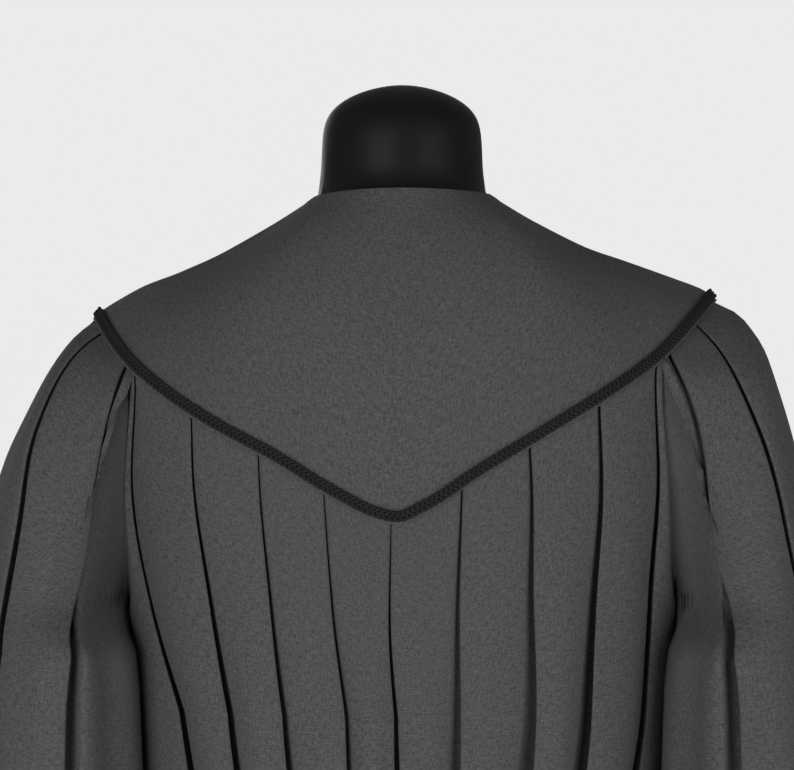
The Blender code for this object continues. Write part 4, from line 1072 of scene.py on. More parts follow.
def panel_grids():
    """Each panel's outer points and their normals, by the name of its node."""
    return {name: settle_sides(*panel_grid(panel), panel["front"]) for name, panel in panel_table().items()}


def armholes(grids):
    """The edge of each panel that a sleeve is set against, by the panel's node and the side."""
    rows = panel_places().index(UNDERARM_PLACE) + 1
    sides = {}
    for name, (grid, _) in grids.items():
        for side, place, beside in (("left", 0, 3), ("right", -1, -4)):
            away = unit(grid[:rows, place] - grid[:rows, beside])
            sides[name, side] = grid[:rows, place] + away * ARMHOLE_GAPS * SEAM_GAP
    return sides


# The sleeves
def sleeve_oval(side, angle, height):
    outer, inner, back, front, inner_y = np.moveaxis(read_curve(SLEEVES[side], height), -1, 0)
    turn = np.radians(angle)
    x = (outer + inner) / 2 + (outer - inner) / 2 * np.cos(turn)
    y = np.where(np.sin(turn) >= 0, back, front) * np.abs(np.sin(turn))
    y += inner_y * (0.5 - 0.5 * np.cos(turn)) ** 2
    return np.stack([side_sign(side) * x, y, height + 0 * x], axis=-1)


def folded_angle(angle):
    """The angle from outermost, the same on the front and back halves."""
    return np.where(angle > 180, 360 - angle, angle)


def seam_place(angle):
    return read_curve(SLEEVE_SEAM, folded_angle(angle))[:, 0]


def sleeve_seam(side, angle, sides, down):
    """The seam at an angle round the sleeve: under the yoke, this far down it, then along the armhole."""
    points = np.empty((len(angle), 3))
    place = seam_place(angle)
    for back in (True, False):
        half = (angle <= 180) == back
        part = "back" if back else side
        panel = "back_panel" if back else "front_" + side
        armhole = sides[panel, side]
        corner = across_at(part, armhole[0, 0])
        tip = 1.0 if back and side == "right" else 0.0
        across = tip + (corner - tip) * np.clip(place[half], 0, 1)
        lap = yoke_surface(part, across, down) - SLEEVE_LAP_DEPTH * yoke_normal(part, across, down)
        hole = along(armhole, np.clip(place[half] - 1, 0, 1))
        points[half] = np.where((place[half] < 1)[:, None], lap, hole)
    return points


def sleeve_wave(angle, place):
    """How far the sleeve stands out at an angle, from its soft troughs and ridges."""
    fold = folded_angle(angle)
    out = np.zeros_like(fold)
    for at, half_width, seam, level, cuff in SLEEVE_WAVES:
        height = float(read_curve([(0.0, seam), (1.0, level), (2.0, cuff)], place)[0])
        out += height * np.exp(-(((fold - at) / half_width) ** 2))
    ridge = float(read_curve(SLEEVE_FRONT_RIDGE, place)[0])
    return out + ridge * np.exp(-(((angle - RIDGE_ANGLE) / RIDGE_HALF_WIDTH) ** 2))


def sleeve_base(side, place, angle, lap, edge):
    """A sleeve's plain row. A place under 0 is the top row, under the yoke and along the armhole."""
    if place < 0:
        return lap
    plain = sleeve_oval(side, angle, edge[:, 2])
    if place < 1:
        start = ARMHOLE_START * ease((seam_place(angle) - ARMHOLE_BEGIN) / ARMHOLE_BLEND)
        shares = start + (1 - start) * place
        heights = edge[:, 2] + (LEVEL_Z - edge[:, 2]) * shares
        roll = HEAD_ROLL * np.clip(np.cos(np.radians(angle)), 0, 1) ** 2
        fade = ((1 - shares) ** (HEAD_FADE + roll))[:, None]
    else:
        heights = height_at(edge[:, 2], place, CUFF_Z)
        fade = 0.0
    base = sleeve_oval(side, angle, heights) + (edge - plain) * fade
    centre = base.mean(axis=0)
    out = unit((base - centre) * np.array([1.0, 1.0, 0.0]))
    return base + out * sleeve_wave(angle, place)[:, None]


def sleeve_places():
    upper = np.arange(0, SLEEVE_UPPER_ROWS + 1) / SLEEVE_UPPER_ROWS
    lower = 1 + np.arange(1, SLEEVE_LOWER_ROWS + 1) / SLEEVE_LOWER_ROWS
    return [-1.0, *upper, *lower]


def sleeve_grid(side, sides):
    angle = np.linspace(0, 360, SLEEVE_SAMPLES)
    lap = sleeve_seam(side, angle, sides, LAP_SHARE)
    edge = sleeve_seam(side, angle, sides, 1.0)
    pleats = SLEEVE_PLEATS[side]
    ring = [(pleat, False) for pleat in pleats] + [(pleat, True) for pleat in reversed(pleats)]
    run = np.radians(folded_angle(angle)) * SLEEVE_RADIUS
    creases = [
        (math.radians(top_angle) * SLEEVE_RADIUS, top, math.radians(foot_angle) * SLEEVE_RADIUS, *rest)
        for top_angle, top, foot_angle, *rest in SLEEVE_CREASES[side]
    ]
    rows = []
    for place in sleeve_places():
        base = sleeve_base(side, place, angle, lap, edge)
        above = sleeve_base(side, max(place - SLEEVE_LEAN_STEP, 0.0), angle, lap, edge)
        below = sleeve_base(side, min(max(place, 0.0) + SLEEVE_LEAN_STEP, 2.0), angle, lap, edge)
        lean = unit(np.cross(np.gradient(base, axis=0), below - above))
        middle = base.mean(axis=0)
        lean *= np.sign((lean * (base - middle)).sum())
        places = run_lengths(base)
        folds = []
        for (facing, *angles, openness), mirrored in ring:
            at = float(read_curve(list(zip(SLEEVE_KNOTS, angles)), max(place, 0.0))[0])
            spot = np.interp(360 - at if mirrored else at, angle, places)
            underlap, depth, pocket, mouth = read_curve(SLEEVE_FOLD, max(place, 0.0))
            mouth *= openness
            faces = -facing if mirrored else facing
            folds.append((spot - faces * mouth / 2, pleat_profile(faces, (underlap, depth, pocket, mouth))))
        hanging = ease(place / SLEEVE_HANG)
        relief = hanging * (wander(run, base[:, 2]) + creased(run, base[:, 2], creases))
        rows.append(folded_row(base, lean, places, folds, 0.0, SLEEVE_STRETCHES, relief, closed=True))
    grid = np.array(rows)
    normals = grid_normals(grid, closed=True)
    centre = grid[-1].mean(axis=0)
    if (normals[-1] * (grid[-1] - centre)).sum() < 0:
        normals = -normals
    return grid, normals


# The yoke's cloth
def steps_across(part, steps):
    """The places along a yoke's edge that its points stand at, one of them at its point."""
    if part != "back":
        return np.linspace(0, 1, steps // 2 + 1)
    point = EDGES["back"][POINT_ROW, 0]
    half = steps // 2 + 1
    return np.concatenate([np.linspace(0, point, half), np.linspace(point, 1, half)[1:]])


def yoke_grid(part):
    across = steps_across(part, YOKE_COLUMNS)
    downs = np.linspace(0, 1, YOKE_ROWS)
    grid = np.array([yoke_surface(part, across, down) for down in downs])
    normals = np.array([yoke_normal(part, across, down) for down in downs])
    flat = ease(np.minimum(downs, 1 - downs) / YOKE_FLAT_SHARE)[:, None]
    uneven = wander(grid[..., 0], grid[..., 2]) * YOKE_WANDER * flat
    from_neck = np.linalg.norm(grid - grid[:1], axis=-1)
    rolled = NECK_ROLL_STEP * (1 - ease((from_neck - NECK_ROLL) / NECK_ROLL_EDGE))
    ends = (across < END_SHARE) | (across > 1 - END_SHARE)
    grid = grid + normals * (uneven * ~ends + rolled)[..., None]
    grid[:, :, 1] += shoulder_gap(part, across)
    if part == "left":
        grid, normals = grid[:, ::-1], normals[:, ::-1]
    return grid, normals


# The braid and the zip
def plait_frames(part):
    """Points along the middle of the braid on the yoke, with the ways down the yoke and out of it."""
    count = BRAID_SAMPLES * YOKE_COLUMNS
    across = steps_across(part, count)
    reach = np.linalg.norm(yoke_edge(part, across) - neckline(part, across), axis=-1)
    middle_down = 1 - BRAID_INSET / reach
    middle = yoke_surface(part, across, middle_down)
    normal = yoke_normal(part, across, middle_down)
    tangent = unit(np.gradient(middle, axis=0))
    down = np.cross(normal, tangent)
    toward_edge = yoke_surface(part, across, 1.0) - yoke_surface(part, across, ABOVE_EDGE)
    down = unit(down * np.sign((down * toward_edge).sum(-1, keepdims=True)))
    ends = [0, -1] if part == "back" else [0]
    down[ends, 1] = 0.0
    middle[:, 1] += shoulder_gap(part, across)
    return middle, unit(down), normal


def corded_plait(name, part):
    """Three round cords plaited flat along the yoke's edge, each a closed tube with its own map."""
    middle, down, normal = plait_frames(part)
    run = run_lengths(middle)
    plaits = max(1, round(run[-1] / PLAIT_LENGTH))
    steps = plaits * STEPS_PER_PLAIT
    places = np.linspace(0, run[-1], steps + 1)

    def resample(values):
        return np.stack([np.interp(places, run, values[:, axis]) for axis in range(3)], axis=1)

    middle, down, normal = resample(middle), unit(resample(down)), unit(resample(normal))
    turn = 2 * np.pi * plaits * places / run[-1] * (-1.0 if part == "left" else 1.0)
    lift = SEAM_GAP + CORD_RADIUS + PLAIT_RISE
    points, faces, corners = [], [], []
    for cord in range(CORDS):
        phase = turn + 2 * np.pi * cord / CORDS
        spread = PLAIT_SPREAD * np.sin(phase)
        rise = PLAIT_RISE * np.sin(2 * phase)
        centre = middle + down * spread[:, None] + normal * (lift + rise)[:, None]
        ahead = unit(np.gradient(centre, axis=0))
        side = unit(np.cross(normal, ahead))
        out = np.cross(ahead, side)
        start = len(points)
        length = run_lengths(centre)
        for step in range(steps + 1):
            ring_side, ring_out = side[step], out[step]
            if step in (0, steps):
                ring_side, ring_out = down[step], normal[step]
            for number in range(CORD_SIDES):
                angle = 2 * math.pi * number / CORD_SIDES
                point = ring_side * math.cos(angle) + ring_out * math.sin(angle)
                points.append(centre[step] + CORD_RADIUS * point)
        around = [2 * math.pi * CORD_RADIUS * number / CORD_SIDES for number in range(CORD_SIDES + 1)]
        for step in range(steps):
            for number in range(CORD_SIDES):
                beside = (number + 1) % CORD_SIDES
                first = start + step * CORD_SIDES + number
                second = start + step * CORD_SIDES + beside
                faces.append((first, second, second + CORD_SIDES, first + CORD_SIDES))
                corners += [(length[step], around[number]), (length[step], around[number + 1])]
                corners += [(length[step + 1], around[number + 1]), (length[step + 1], around[number])]
        for ring, order in ((start + steps * CORD_SIDES, 1), (start, -1)):
            faces.append(tuple(range(ring, ring + CORD_SIDES))[::order])
            corners += [(0.0, 0.0)] * CORD_SIDES
    return made_mesh(name, points, faces, corners, edge_degrees=CORD_EDGE_DEGREES)


def centre_line(grid):
    """The centre front's outer face from the neckline to the zip's end, as the right front has it."""
    down = np.linspace(ZIP_TOP_SHARE, LAP_SHARE - LINE_BREAK, YOKE_LINE_POINTS)
    yoke = yoke_surface("right", 1.0, down) - LAP_DEPTH * yoke_normal("right", 1.0, down)
    line = np.concatenate([yoke, grid[:, 0]])
    line[:, 0] = 0.0
    end = np.interp(-ZIP_END_Z, -line[:, 2], line[:, 1])
    line = line[line[:, 2] > ZIP_END_Z + LAST_STEP]
    return np.vstack([line, [0.0, end, ZIP_END_Z]])


def line_normals(line):
    run = unit(np.gradient(line, axis=0))
    return unit(np.stack([0 * run[:, 0], -run[:, 2], run[:, 1]], axis=1))


def tape_grid(line, normals, side):
    """One half of the zip's tape, with a thicker cord along its inner edge."""
    wide = np.linspace(CLOSED_GAP, TAPE_HALF_WIDTH, TAPE_COLUMNS)
    cord = TAPE_CORD_STEP * np.exp(-((wide / TAPE_CORD_WIDTH) ** 2))
    out = -TAPE_DEPTH + np.minimum(cord, TAPE_CORD_STEP * TAPE_CORD_FLAT)
    across = np.zeros((TAPE_COLUMNS, 3))
    across[:, 0] = side_sign(side) * wide
    grid = line[:, None] + across[None] + normals[:, None] * out[None, :, None]
    return grid, np.broadcast_to(normals[:, None], grid.shape)


def one_tooth():
    """A moulded tooth on the zip's tape, as points and faces about its own middle."""
    bpy.ops.mesh.primitive_cube_add(size=1.0, location=(0.0, 0.0, 0.0))
    tooth = bpy.context.active_object
    bpy.ops.transform.resize(value=TOOTH_SIZE)
    bpy.ops.object.transform_apply(location=False, rotation=False, scale=True)
    bevel = tooth.modifiers.new("round", "BEVEL")
    bevel.width = TOOTH_SIZE[1] * TOOTH_BEVEL
    bevel.segments = 1
    bpy.ops.object.modifier_apply(modifier=bevel.name)
    points = np.array([vertex.co for vertex in tooth.data.vertices])
    faces = [tuple(face.vertices) for face in tooth.data.polygons]
    bpy.data.objects.remove(tooth)
    return points, faces


def turned_piece(name, profile, edge):
    """A solid turned about Z from a profile that runs from its axis round its outside and back."""
    bpy.ops.mesh.primitive_plane_add(size=1.0, location=(0.0, 0.0, 0.0))
    made = bpy.context.active_object
    made.name = made.data.name = name
    made.data.clear_geometry()
    points = [(radius, 0.0, z) for radius, z in profile]
    made.data.from_pydata(points, [(n, n + 1) for n in range(len(points) - 1)], [])
    screw = made.modifiers.new("turn", "SCREW")
    screw.angle = 2 * math.pi
    screw.steps = screw.render_steps = TURN_STEPS
    screw.use_merge_vertices = True
    screw.merge_threshold = AXIS_MERGE
    screw.use_normal_calculate = True
    bevel = made.modifiers.new("edge", "BEVEL")
    bevel.width = edge
    bevel.segments = 2
    bevel.angle_limit = math.radians(PROFILE_CORNER_DEGREES)
    select_only(made)
    for modifier in (screw, bevel):
        bpy.ops.object.modifier_apply(modifier=modifier.name)
    outward_and_smooth(made, TURNED_EDGE_DEGREES)
    return made


def outward_and_smooth(made, degrees):
    select_only(made)
    bpy.ops.object.mode_set(mode="EDIT")
    bpy.ops.mesh.select_all(action="SELECT")
    bpy.ops.mesh.remove_doubles(threshold=POINT_MERGE)
    bpy.ops.mesh.normals_make_consistent(inside=False)
    bpy.ops.object.mode_set(mode="OBJECT")
    bpy.ops.object.shade_smooth_by_angle(angle=math.radians(degrees))


def copied_node(node, name):
    """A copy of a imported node's mesh, merged and in squares where it can be, at the origin."""
    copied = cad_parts[node].copy()
    copied.data = copied.data.copy()
    copied.name = copied.data.name = name
    copied.parent = None
    copied.matrix_world.identity()
    copied.hide_render = False
    copied.animation_data_clear()
    bpy.context.scene.collection.objects.link(copied)
    select_only(copied)
    bpy.ops.object.mode_set(mode="EDIT")
    bpy.ops.mesh.select_all(action="SELECT")
    bpy.ops.mesh.remove_doubles(threshold=POINT_MERGE)
    bpy.ops.mesh.dissolve_limited(angle_limit=math.radians(FLAT_DEGREES))
    bpy.ops.object.mode_set(mode="OBJECT")
    return copied


# Finishes
def new_node(tree, kind, **values):
    made = tree.nodes.new(kind)
    for name, value in values.items():
        setattr(made, name, value)
    return made


def maths(tree, operation, first, second=None):
    """A Math node on sockets or numbers. Returns its value's socket."""
    made = new_node(tree, "ShaderNodeMath", operation=operation)
    for place, value in enumerate((first, second)):
        if value is None:
            continue
        if isinstance(value, (int, float)):
            made.inputs[place].default_value = value
        else:
            tree.links.new(value, made.inputs[place])
    return made.outputs[0]


def noise(tree, vector, scale, detail=2.0, rough=0.5):
    made = new_node(tree, "ShaderNodeTexNoise")
    made.inputs["Scale"].default_value = scale
    made.inputs["Detail"].default_value = detail
    made.inputs["Roughness"].default_value = rough
    tree.links.new(vector, made.inputs["Vector"])
    return made.outputs["Fac"]


def stretched(tree, vector, scale):
    made = new_node(tree, "ShaderNodeMapping")
    made.inputs["Scale"].default_value = scale
    tree.links.new(vector, made.inputs["Vector"])
    return made.outputs["Vector"]


def group_tree(name, inputs, outputs):
    """An empty node group with its sockets, and the ends that its nodes link to."""
    tree = bpy.data.node_groups.new(name, "ShaderNodeTree")
    for title, kind, value in inputs:
        socket = tree.interface.new_socket(title, in_out="INPUT", socket_type=kind)
        if value is not None:
            socket.default_value = value
    for title, kind in outputs:
        tree.interface.new_socket(title, in_out="OUTPUT", socket_type=kind)
    start, end = new_node(tree, "NodeGroupInput"), new_node(tree, "NodeGroupOutput")
    return tree, start, end


def weave_group():
    """Plain weave: the height of its threads, and how light each stretch of yarn is."""
    name = "Plain Weave"
    if name in bpy.data.node_groups:
        return bpy.data.node_groups[name]
    inputs = (("Cloth", "NodeSocketVector", None), ("Thread", "NodeSocketFloat", 0.0005))
    outputs = (("Height", "NodeSocketFloat"), ("Yarn", "NodeSocketFloat"))
    tree, start, end = group_tree(name, inputs, outputs)
    apart = new_node(tree, "ShaderNodeSeparateXYZ")
    tree.links.new(start.outputs["Cloth"], apart.inputs[0])
    waves = []
    for axis in ("X", "Y"):
        turns = maths(tree, "DIVIDE", apart.outputs[axis], start.outputs["Thread"])
        waves.append(maths(tree, "SINE", maths(tree, "MULTIPLY", turns, math.pi)))
    over = maths(tree, "GREATER_THAN", maths(tree, "MULTIPLY", *waves), 0.0)
    warp = maths(tree, "MULTIPLY", maths(tree, "ABSOLUTE", waves[0]), over)
    weft = maths(tree, "MULTIPLY", maths(tree, "ABSOLUTE", waves[1]), maths(tree, "SUBTRACT", 1.0, over))
    tree.links.new(maths(tree, "ADD", warp, weft), end.inputs["Height"])
    yarns = []
    for stretch in ((1.0, YARN_STRETCH, 1.0), (YARN_STRETCH, 1.0, 1.0)):
        pulled = stretched(tree, start.outputs["Cloth"], stretch)
        yarns.append(noise(tree, pulled, YARN_SCALE, 2.0, YARN_ROUGH))
    blotch = noise(tree, start.outputs["Cloth"], BLOTCH_SCALE, 2.0, YARN_ROUGH)
    total = maths(tree, "ADD", maths(tree, "ADD", *yarns), blotch)
    tree.links.new(maths(tree, "DIVIDE", total, float(len(yarns) + 1)), end.inputs["Yarn"])
    return tree


def speckle_group():
    """Fine unevenness of a hard finish: soft patches and small specks, each from 0 to 1."""
    name = "Speckle"
    if name in bpy.data.node_groups:
        return bpy.data.node_groups[name]
    inputs = (("Place", "NodeSocketVector", None), ("Patch Scale", "NodeSocketFloat", 20.0))
    outputs = (("Patches", "NodeSocketFloat"), ("Specks", "NodeSocketFloat"))
    tree, start, end = group_tree(name, inputs, outputs)
    patches = new_node(tree, "ShaderNodeTexNoise")
    patches.inputs["Detail"].default_value = 4.0
    tree.links.new(start.outputs["Place"], patches.inputs["Vector"])
    tree.links.new(start.outputs["Patch Scale"], patches.inputs["Scale"])
    tree.links.new(patches.outputs["Fac"], end.inputs["Patches"])
    tree.links.new(noise(tree, start.outputs["Place"], SPECK_SCALE, 2.0), end.inputs["Specks"])
    return tree


def placed_group(tree, group, vector, **values):
    made = new_node(tree, "ShaderNodeGroup", node_tree=group)
    tree.links.new(vector, made.inputs[0])
    for name, value in values.items():
        made.inputs[name.replace("_", " ")].default_value = value
    return made


def plain_finish(name, colour, roughness, **values):
    """A material whose Principled BSDF has these values on its own sockets."""
    made = bpy.data.materials.new(name)
    made.use_nodes = True
    shader = made.node_tree.nodes["Principled BSDF"]
    shader.inputs["Base Color"].default_value = (*colour, 1.0)
    shader.inputs["Roughness"].default_value = roughness
    for title, value in values.items():
        shader.inputs[title.replace("_", " ")].default_value = value
    return made, made.node_tree, shader


def shaded_colour(tree, shader, mask, low, high, colour):
    """Base colour from a mask: the colour times low where the mask is low, times high where it is high."""
    ramp = new_node(tree, "ShaderNodeValToRGB")
    ramp.color_ramp.elements[0].position = MASK_LOW
    ramp.color_ramp.elements[1].position = MASK_HIGH
    ramp.color_ramp.elements[0].color = (*(low * part for part in colour), 1.0)
    ramp.color_ramp.elements[1].color = (*(high * part for part in colour), 1.0)
    tree.links.new(mask, ramp.inputs["Fac"])
    tree.links.new(ramp.outputs["Color"], shader.inputs["Base Color"])


def bumped(tree, shader, height, strength, distance):
    bump = new_node(tree, "ShaderNodeBump")
    bump.inputs["Strength"].default_value = strength
    bump.inputs["Distance"].default_value = distance
    tree.links.new(height, bump.inputs["Height"])
    tree.links.new(bump.outputs["Normal"], shader.inputs["Normal"])


def coordinates(tree, title):
    return new_node(tree, "ShaderNodeTexCoord").outputs[title]


def woven_finish(name, colour, roughness, thread, low, high, sheen):
    made, tree, shader = plain_finish(
        name, colour, roughness, Sheen_Weight=sheen, Sheen_Roughness=0.5, Specular_IOR_Level=CLOTH_SPECULAR
    )
    weave = placed_group(tree, weave_group(), coordinates(tree, "UV"), Thread=thread)
    shaded_colour(tree, shader, weave.outputs["Yarn"], low, high, colour)
    height = maths(tree, "ADD", weave.outputs["Height"], weave.outputs["Yarn"])
    bumped(tree, shader, height, WEAVE_BUMP, thread * 0.5)
    return made


def gown_cloth_finish(colour):
    return woven_finish("charcoal gown cloth", colour, **GOWN_CLOTH)


def tape_finish(colour):
    return woven_finish("black zip tape", colour, **ZIP_TAPE)


def cord_finish(colour):
    """Twisted thread: slanted ply lines round each cord, as bumps and painted into the colour: a painted
    highlight on each ply's crown and painted shade in the groove between, with a random fibre tone.
    """
    made, tree, shader = plain_finish(
        "black twisted cord", colour, CORD_ROUGHNESS, Specular_IOR_Level=CORD_SPECULAR
    )
    apart = new_node(tree, "ShaderNodeSeparateXYZ")
    tree.links.new(coordinates(tree, "UV"), apart.inputs[0])
    slant = maths(tree, "ADD", apart.outputs["X"], maths(tree, "MULTIPLY", apart.outputs["Y"], PLY_SLANT))
    ply = maths(tree, "ABSOLUTE", maths(tree, "SINE", maths(tree, "MULTIPLY", slant, math.pi / PLY_PITCH)))
    pulled = stretched(tree, coordinates(tree, "UV"), (1.0, FIBRE_STRETCH, 1.0))
    fibres = noise(tree, pulled, FIBRE_SCALE, 2.0, YARN_ROUGH)
    # Painted light: the colour is lighter on each ply's crown (painted highlight) and darker in the grooves
    # between (painted shade), times a random fibre tone.
    crown = maths(tree, "MULTIPLY", ply, maths(tree, "ADD", fibres, 0.5))
    shaded_colour(tree, shader, crown, *CORD_SHADE_AND_HIGHLIGHT_TONES, colour)
    bumped(tree, shader, maths(tree, "ADD", ply, fibres), CORD_BUMP, CORD_BUMP_DEPTH)
    return made


def hard_finish(name, colour):
    """A smooth hard finish whose roughness wanders by a spread, with a fine unevenness."""
    roughness, spread, patch_scale, bump, values = HARD_FINISHES[name]
    made, tree, shader = plain_finish(name, colour, roughness, **values)
    speckle = placed_group(tree, speckle_group(), coordinates(tree, "Object"), Patch_Scale=patch_scale)
    shaded_colour(tree, shader, speckle.outputs["Patches"], *HARD_TONES, colour)
    wider = maths(tree, "MULTIPLY", speckle.outputs["Patches"], spread)
    tree.links.new(maths(tree, "ADD", wider, roughness - spread / 2), shader.inputs["Roughness"])
    bumped(tree, shader, speckle.outputs["Specks"], bump, SPECK_DEPTH)
    return made


# Settings that a user would change
def colour_setting(title, text, value):
    return bpy.props.FloatVectorProperty(
        name=title, description=text, subtype="COLOR", size=3, min=0.0, max=1.0, default=value
    )


def length_setting(title, text, value, low, high):
    return bpy.props.FloatProperty(
        name=title, description=text, default=value, min=low, max=high, unit="LENGTH", precision=4
    )


def power_setting(title, text, value):
    return bpy.props.FloatProperty(name=title, description=text, default=value, min=0.0, unit="POWER")


class GownSettings(bpy.types.PropertyGroup):
    """Colours and sizes of the gown"""

    cloth_colour: colour_setting("Cloth", "Colour of the gown's cloth", (0.064, 0.064, 0.065))
    cloth_thickness: length_setting("Cloth Thickness", "Wall of the cloth", 0.0009, 0.0004, 0.0015)
    braid_colour: colour_setting("Braid", "Colour of the plaited braid", (0.010, 0.010, 0.0105))
    tape_colour: colour_setting("Zip Tape", "Colour of the zip's tape", (0.020, 0.020, 0.021))
    tooth_colour: colour_setting("Zip Teeth", "Colour of the zip's teeth", (0.026, 0.026, 0.027))
    metal_colour: colour_setting("Slider", "Colour of the zip's slider and tab", (0.42, 0.42, 0.43))


class FormSettings(bpy.types.PropertyGroup):
    """Colours of the dress form and its stand"""

    form_colour: colour_setting("Form", "Colour of the glossy form", (0.006, 0.006, 0.0065))
    stand_colour: colour_setting("Stand", "Colour of the painted stand", (0.028, 0.028, 0.029))


class StudioSettings(bpy.types.PropertyGroup):
    """The studio round the gown"""

    backdrop: colour_setting("Backdrop", "Colour of the backdrop", (0.83, 0.83, 0.83))
    ambient: bpy.props.FloatProperty(
        name="Ambient",
        description="Share of the backdrop's light that falls on the gown",
        default=0.24,
        min=0.0,
        max=1.0,
    )
    key_power: power_setting("Key Light", "Power of the large light at the left", 88.0)
    fill_power: power_setting("Fill Light", "Power of the light at the right", 58.0)
    front_power: power_setting("Front Light", "Power of the light on the gown's front", 40.0)


# Operators
class GOWN_OT_cloth(bpy.types.Operator):
    """Drape the yokes, the pleated panels and the sleeves"""

    bl_idname = "gown.cloth"
    bl_label = "Cloth"

    def execute(self, context):
        settings = context.scene.gown
        finish = gown_cloth_finish(settings.cloth_colour)
        thick = settings.cloth_thickness
        for node, part, flat, area in YOKE_CUTS:
            grid, normals = yoke_grid(part)
            made = cloth_sheet(node + "_cloth", grid, normals, thick)
            settle(made, BODY_NAME, "charcoal_cloth", finish, node)
        grids = panel_grids()
        for node, flat, area in PANEL_CUTS:
            grid, normals = grids[node]
            made = cloth_sheet(node + "_cloth", grid, normals, hem_thickness(grid, thick, HEM_Z))
            settle(made, BODY_NAME, "charcoal_cloth", finish, node)
        sides = armholes(grids)
        for side, flat, area in SLEEVE_CUTS:
            node = "sleeve_" + side
            grid, normals = sleeve_grid(side, sides)
            turned = hem_thickness(grid, thick, CUFF_Z)
            made = cloth_sheet(node + "_cloth", grid, normals, turned, closed=True)
            settle(made, BODY_NAME, "charcoal_cloth", finish, node)
        return {"FINISHED"}


class GOWN_OT_braid(bpy.types.Operator):
    """Plait the braid along the yoke's edge"""

    bl_idname = "gown.braid"
    bl_label = "Braid"

    def execute(self, context):
        finish = cord_finish(context.scene.gown.braid_colour)
        for node, part in BRAIDS:
            settle(corded_plait(node + "_plait", part), BODY_NAME, "black_braid", finish, node)
        return {"FINISHED"}


class GOWN_OT_zip(bpy.types.Operator):
    """Lay the zip's tapes and teeth, and finish its slider and tab"""

    bl_idname = "gown.zip"
    bl_label = "Zip"

    def execute(self, context):
        settings = context.scene.gown
        grid, _ = settle_sides(*panel_grid(panel_table()["front_right"]), True)
        line = centre_line(grid)
        normals = line_normals(line)
        tape = tape_finish(settings.tape_colour)
        for side in ("left", "right"):
            points, lean = tape_grid(line, normals, side)
            made = cloth_sheet(f"zip_tape_{side}_cloth", points, lean, TAPE_THICK * TAPE_SHARE)
            settle(made, BODY_NAME, "zip_tape", tape, "zip_tape_" + side)
        teeth = hard_finish("black zip teeth", settings.tooth_colour)
        settle(zip_teeth(line, normals), BODY_NAME, "zip_teeth", teeth, "zip_chain")
        metal = hard_finish("satin zip metal", settings.metal_colour)
        for node, body, bevel in METAL_PIECES:
            settle(bevelled_copy(node, bevel), body, "zip_metal", metal, node)
        return {"FINISHED"}


class GOWN_OT_form(bpy.types.Operator):
    """Smooth the glossy form, and turn its pole and base"""

    bl_idname = "gown.form"
    bl_label = "Form and Stand"

    def execute(self, context):
        settings = context.scene.gown_form
        gloss = hard_finish("black gloss form", settings.form_colour)
        settle(smooth_form(), BODY_NAME, "form_gloss", gloss, "form")
        painted = hard_finish("black painted steel", settings.stand_colour)
        for name, node, profile, edge in TURNED_PIECES:
            settle(turned_piece(name, profile, edge), BODY_NAME, "stand_metal", painted, node)
        return {"FINISHED"}


class GOWN_OT_studio(bpy.types.Operator):
    """Set the floor, the light and the camera"""

    bl_idname = "gown.studio"
    bl_label = "Studio"

    def execute(self, context):
        settings = context.scene.gown_studio
        scene = context.scene
        bpy.ops.mesh.primitive_circle_add(
            vertices=FLOOR_SIDES, radius=FLOOR_RADIUS, fill_type="NGON", location=(0.0, 0.0, 0.0)
        )
        floor = context.active_object
        floor.name = "floor"
        made, tree, shader = plain_finish("pale floor", FLOOR_COLOUR, FLOOR_ROUGHNESS)
        patches = noise(tree, coordinates(tree, "Object"), FLOOR_PATCH_SCALE, 3.0)
        shaded_colour(tree, shader, patches, *FLOOR_TONES, FLOOR_COLOUR)
        floor.data.materials.append(made)
        for name, power, size, place in LIGHTS:
            aim = Vector(LIGHTS_AIM) - Vector(place)
            turn = aim.to_track_quat("-Z", "Y").to_euler()
            bpy.ops.object.light_add(type="AREA", radius=size, location=place, rotation=turn)
            light = context.active_object
            light.name = name
            light.data.energy = getattr(settings, power)
        bpy.ops.object.camera_add(location=CAMERA_PLACE, rotation=(math.pi / 2, 0.0, 0.0))
        camera = context.active_object
        camera.data.sensor_width = CAMERA_SENSOR
        camera.data.lens = CAMERA_LENS
        scene.camera = camera
        scene.world = scene.world or bpy.data.worlds.new("studio")
        scene.world.use_nodes = True
        tree = scene.world.node_tree
        backdrop = tree.nodes["Background"]
        backdrop.inputs["Color"].default_value = (*settings.backdrop, 1.0)
        camera_ray = new_node(tree, "ShaderNodeLightPath").outputs["Is Camera Ray"]
        seen = maths(tree, "MULTIPLY", camera_ray, 1.0 - settings.ambient)
        tree.links.new(maths(tree, "ADD", seen, settings.ambient), backdrop.inputs["Strength"])
        scene.view_settings.view_transform = "Standard"
        scene.view_settings.look = "None"
        return {"FINISHED"}


def zip_teeth(line, normals):
    """Two rows of teeth that mesh along the middle, each row half a step behind the other."""
    shape, tooth_faces = one_tooth()
    run = run_lengths(line)
    step = TOOTH_PITCH / 2
    points, faces = [], []
    for number in range(int((run[-1] - TOOTH_PITCH) / step)):
        at = TOOTH_PITCH / 2 + number * step
        middle = np.array([np.interp(at, run, line[:, axis]) for axis in range(3)])
        out = unit(np.array([np.interp(at, run, normals[:, axis]) for axis in range(3)]))
        down = np.array([0.0, out[2], -out[1]])
        sign = 1.0 if number % 2 else -1.0
        centre = middle + out * (-TAPE_DEPTH + TOOTH_FLOAT + TOOTH_SIZE[2] / 2)
        centre[0] += sign * TOOTH_REACH
        start = len(points)
        points += [centre + [x, 0.0, 0.0] + down * y + out * z for x, y, z in shape]
        faces += [tuple(start + place for place in face) for face in tooth_faces]
    return made_mesh("zip_teeth_rows", points, faces, edge_degrees=TOOTH_EDGE_DEGREES)


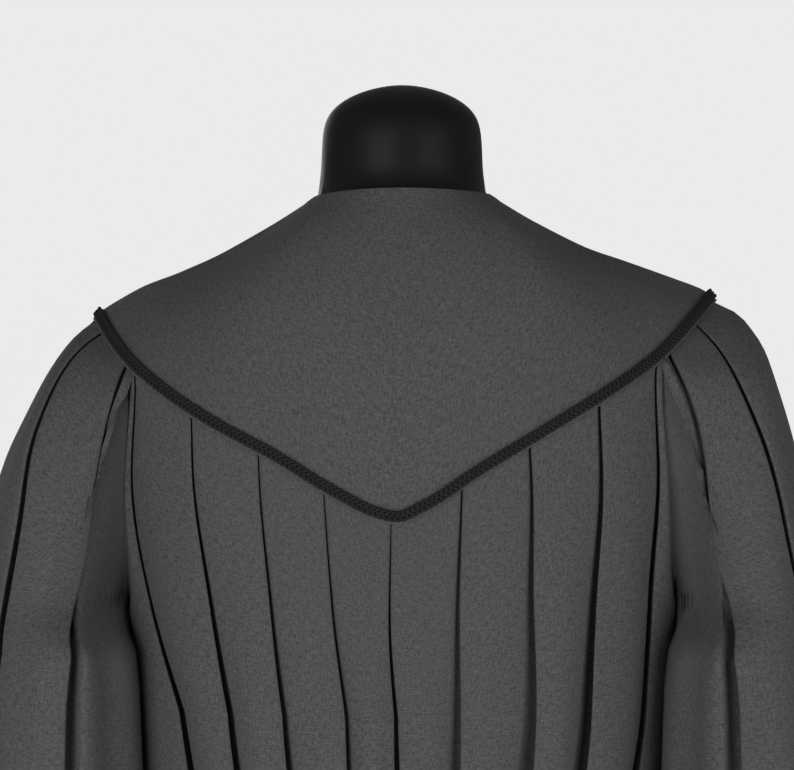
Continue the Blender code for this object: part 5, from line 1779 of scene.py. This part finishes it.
def bevelled_copy(node, width):
    made = copied_node(node, node + "_metal")
    bevel = made.modifiers.new("edge", "BEVEL")
    bevel.width = width
    bevel.segments = 3
    bevel.angle_limit = math.radians(METAL_CORNER_DEGREES)
    bpy.ops.object.modifier_apply(modifier=bevel.name)
    bpy.ops.object.shade_smooth_by_angle(angle=math.radians(METAL_EDGE_DEGREES))
    return made


def smooth_form():
    made = copied_node("form", "dress_form")
    bpy.ops.object.mode_set(mode="EDIT")
    bpy.ops.mesh.select_all(action="SELECT")
    square = math.radians(FORM_SQUARE_DEGREES)
    bpy.ops.mesh.tris_convert_to_quads(face_threshold=square, shape_threshold=square)
    bpy.ops.object.mode_set(mode="OBJECT")
    smooth = made.modifiers.new("smooth", "SUBSURF")
    smooth.levels = smooth.render_levels = 2
    bpy.ops.object.modifier_apply(modifier=smooth.name)
    bpy.ops.object.shade_smooth_by_angle(angle=math.radians(FORM_EDGE_DEGREES))
    return made


# What each piece of cloth was cut to: node, part, width and length, and the area of its shape
YOKE_CUTS = (
    ("yoke_back", "back", (0.58, 0.30), 0.092),
    ("yoke_front_left", "left", (0.26, 0.26), 0.038),
    ("yoke_front_right", "right", (0.26, 0.26), 0.038),
)
PANEL_CUTS = (
    ("back_panel", (1.78, 1.22), 1.38),
    ("front_right", (0.82, 1.21), 0.64),
    ("front_left", (0.82, 1.21), 0.64),
)
SLEEVE_CUTS = (
    ("left", (0.80, 0.64), 0.40),
    ("right", (0.80, 0.64), 0.40),
)

OPERATORS = (GOWN_OT_form, GOWN_OT_cloth, GOWN_OT_braid, GOWN_OT_zip, GOWN_OT_studio)


class GOWN_PT_panel(bpy.types.Panel):
    """The gown's settings and its pieces"""

    bl_label = "Graduation Gown"
    bl_idname = "GOWN_PT_panel"
    bl_space_type = "VIEW_3D"
    bl_region_type = "UI"
    bl_category = "Gown"

    def draw(self, context):
        for settings in (context.scene.gown, context.scene.gown_form, context.scene.gown_studio):
            box = self.layout.box()
            for name in settings.bl_rna.properties.keys():
                if name not in ("rna_type", "name"):
                    box.prop(settings, name)
        for operator in OPERATORS:
            self.layout.operator(operator.bl_idname)


CLASSES = (GownSettings, FormSettings, StudioSettings, *OPERATORS, GOWN_PT_panel)


def register():
    for each in CLASSES:
        bpy.utils.register_class(each)
    bpy.types.Scene.gown = bpy.props.PointerProperty(type=GownSettings)
    bpy.types.Scene.gown_form = bpy.props.PointerProperty(type=FormSettings)
    bpy.types.Scene.gown_studio = bpy.props.PointerProperty(type=StudioSettings)


def unregister():
    for name in ("gown_studio", "gown_form", "gown"):
        delattr(bpy.types.Scene, name)
    for each in reversed(CLASSES):
        bpy.utils.unregister_class(each)


def main():
    register()
    bpy.ops.gown.form()
    bpy.ops.gown.cloth()
    bpy.ops.gown.braid()
    bpy.ops.gown.zip()
    bpy.ops.gown.studio()


if __name__ == "__main__":
    main()
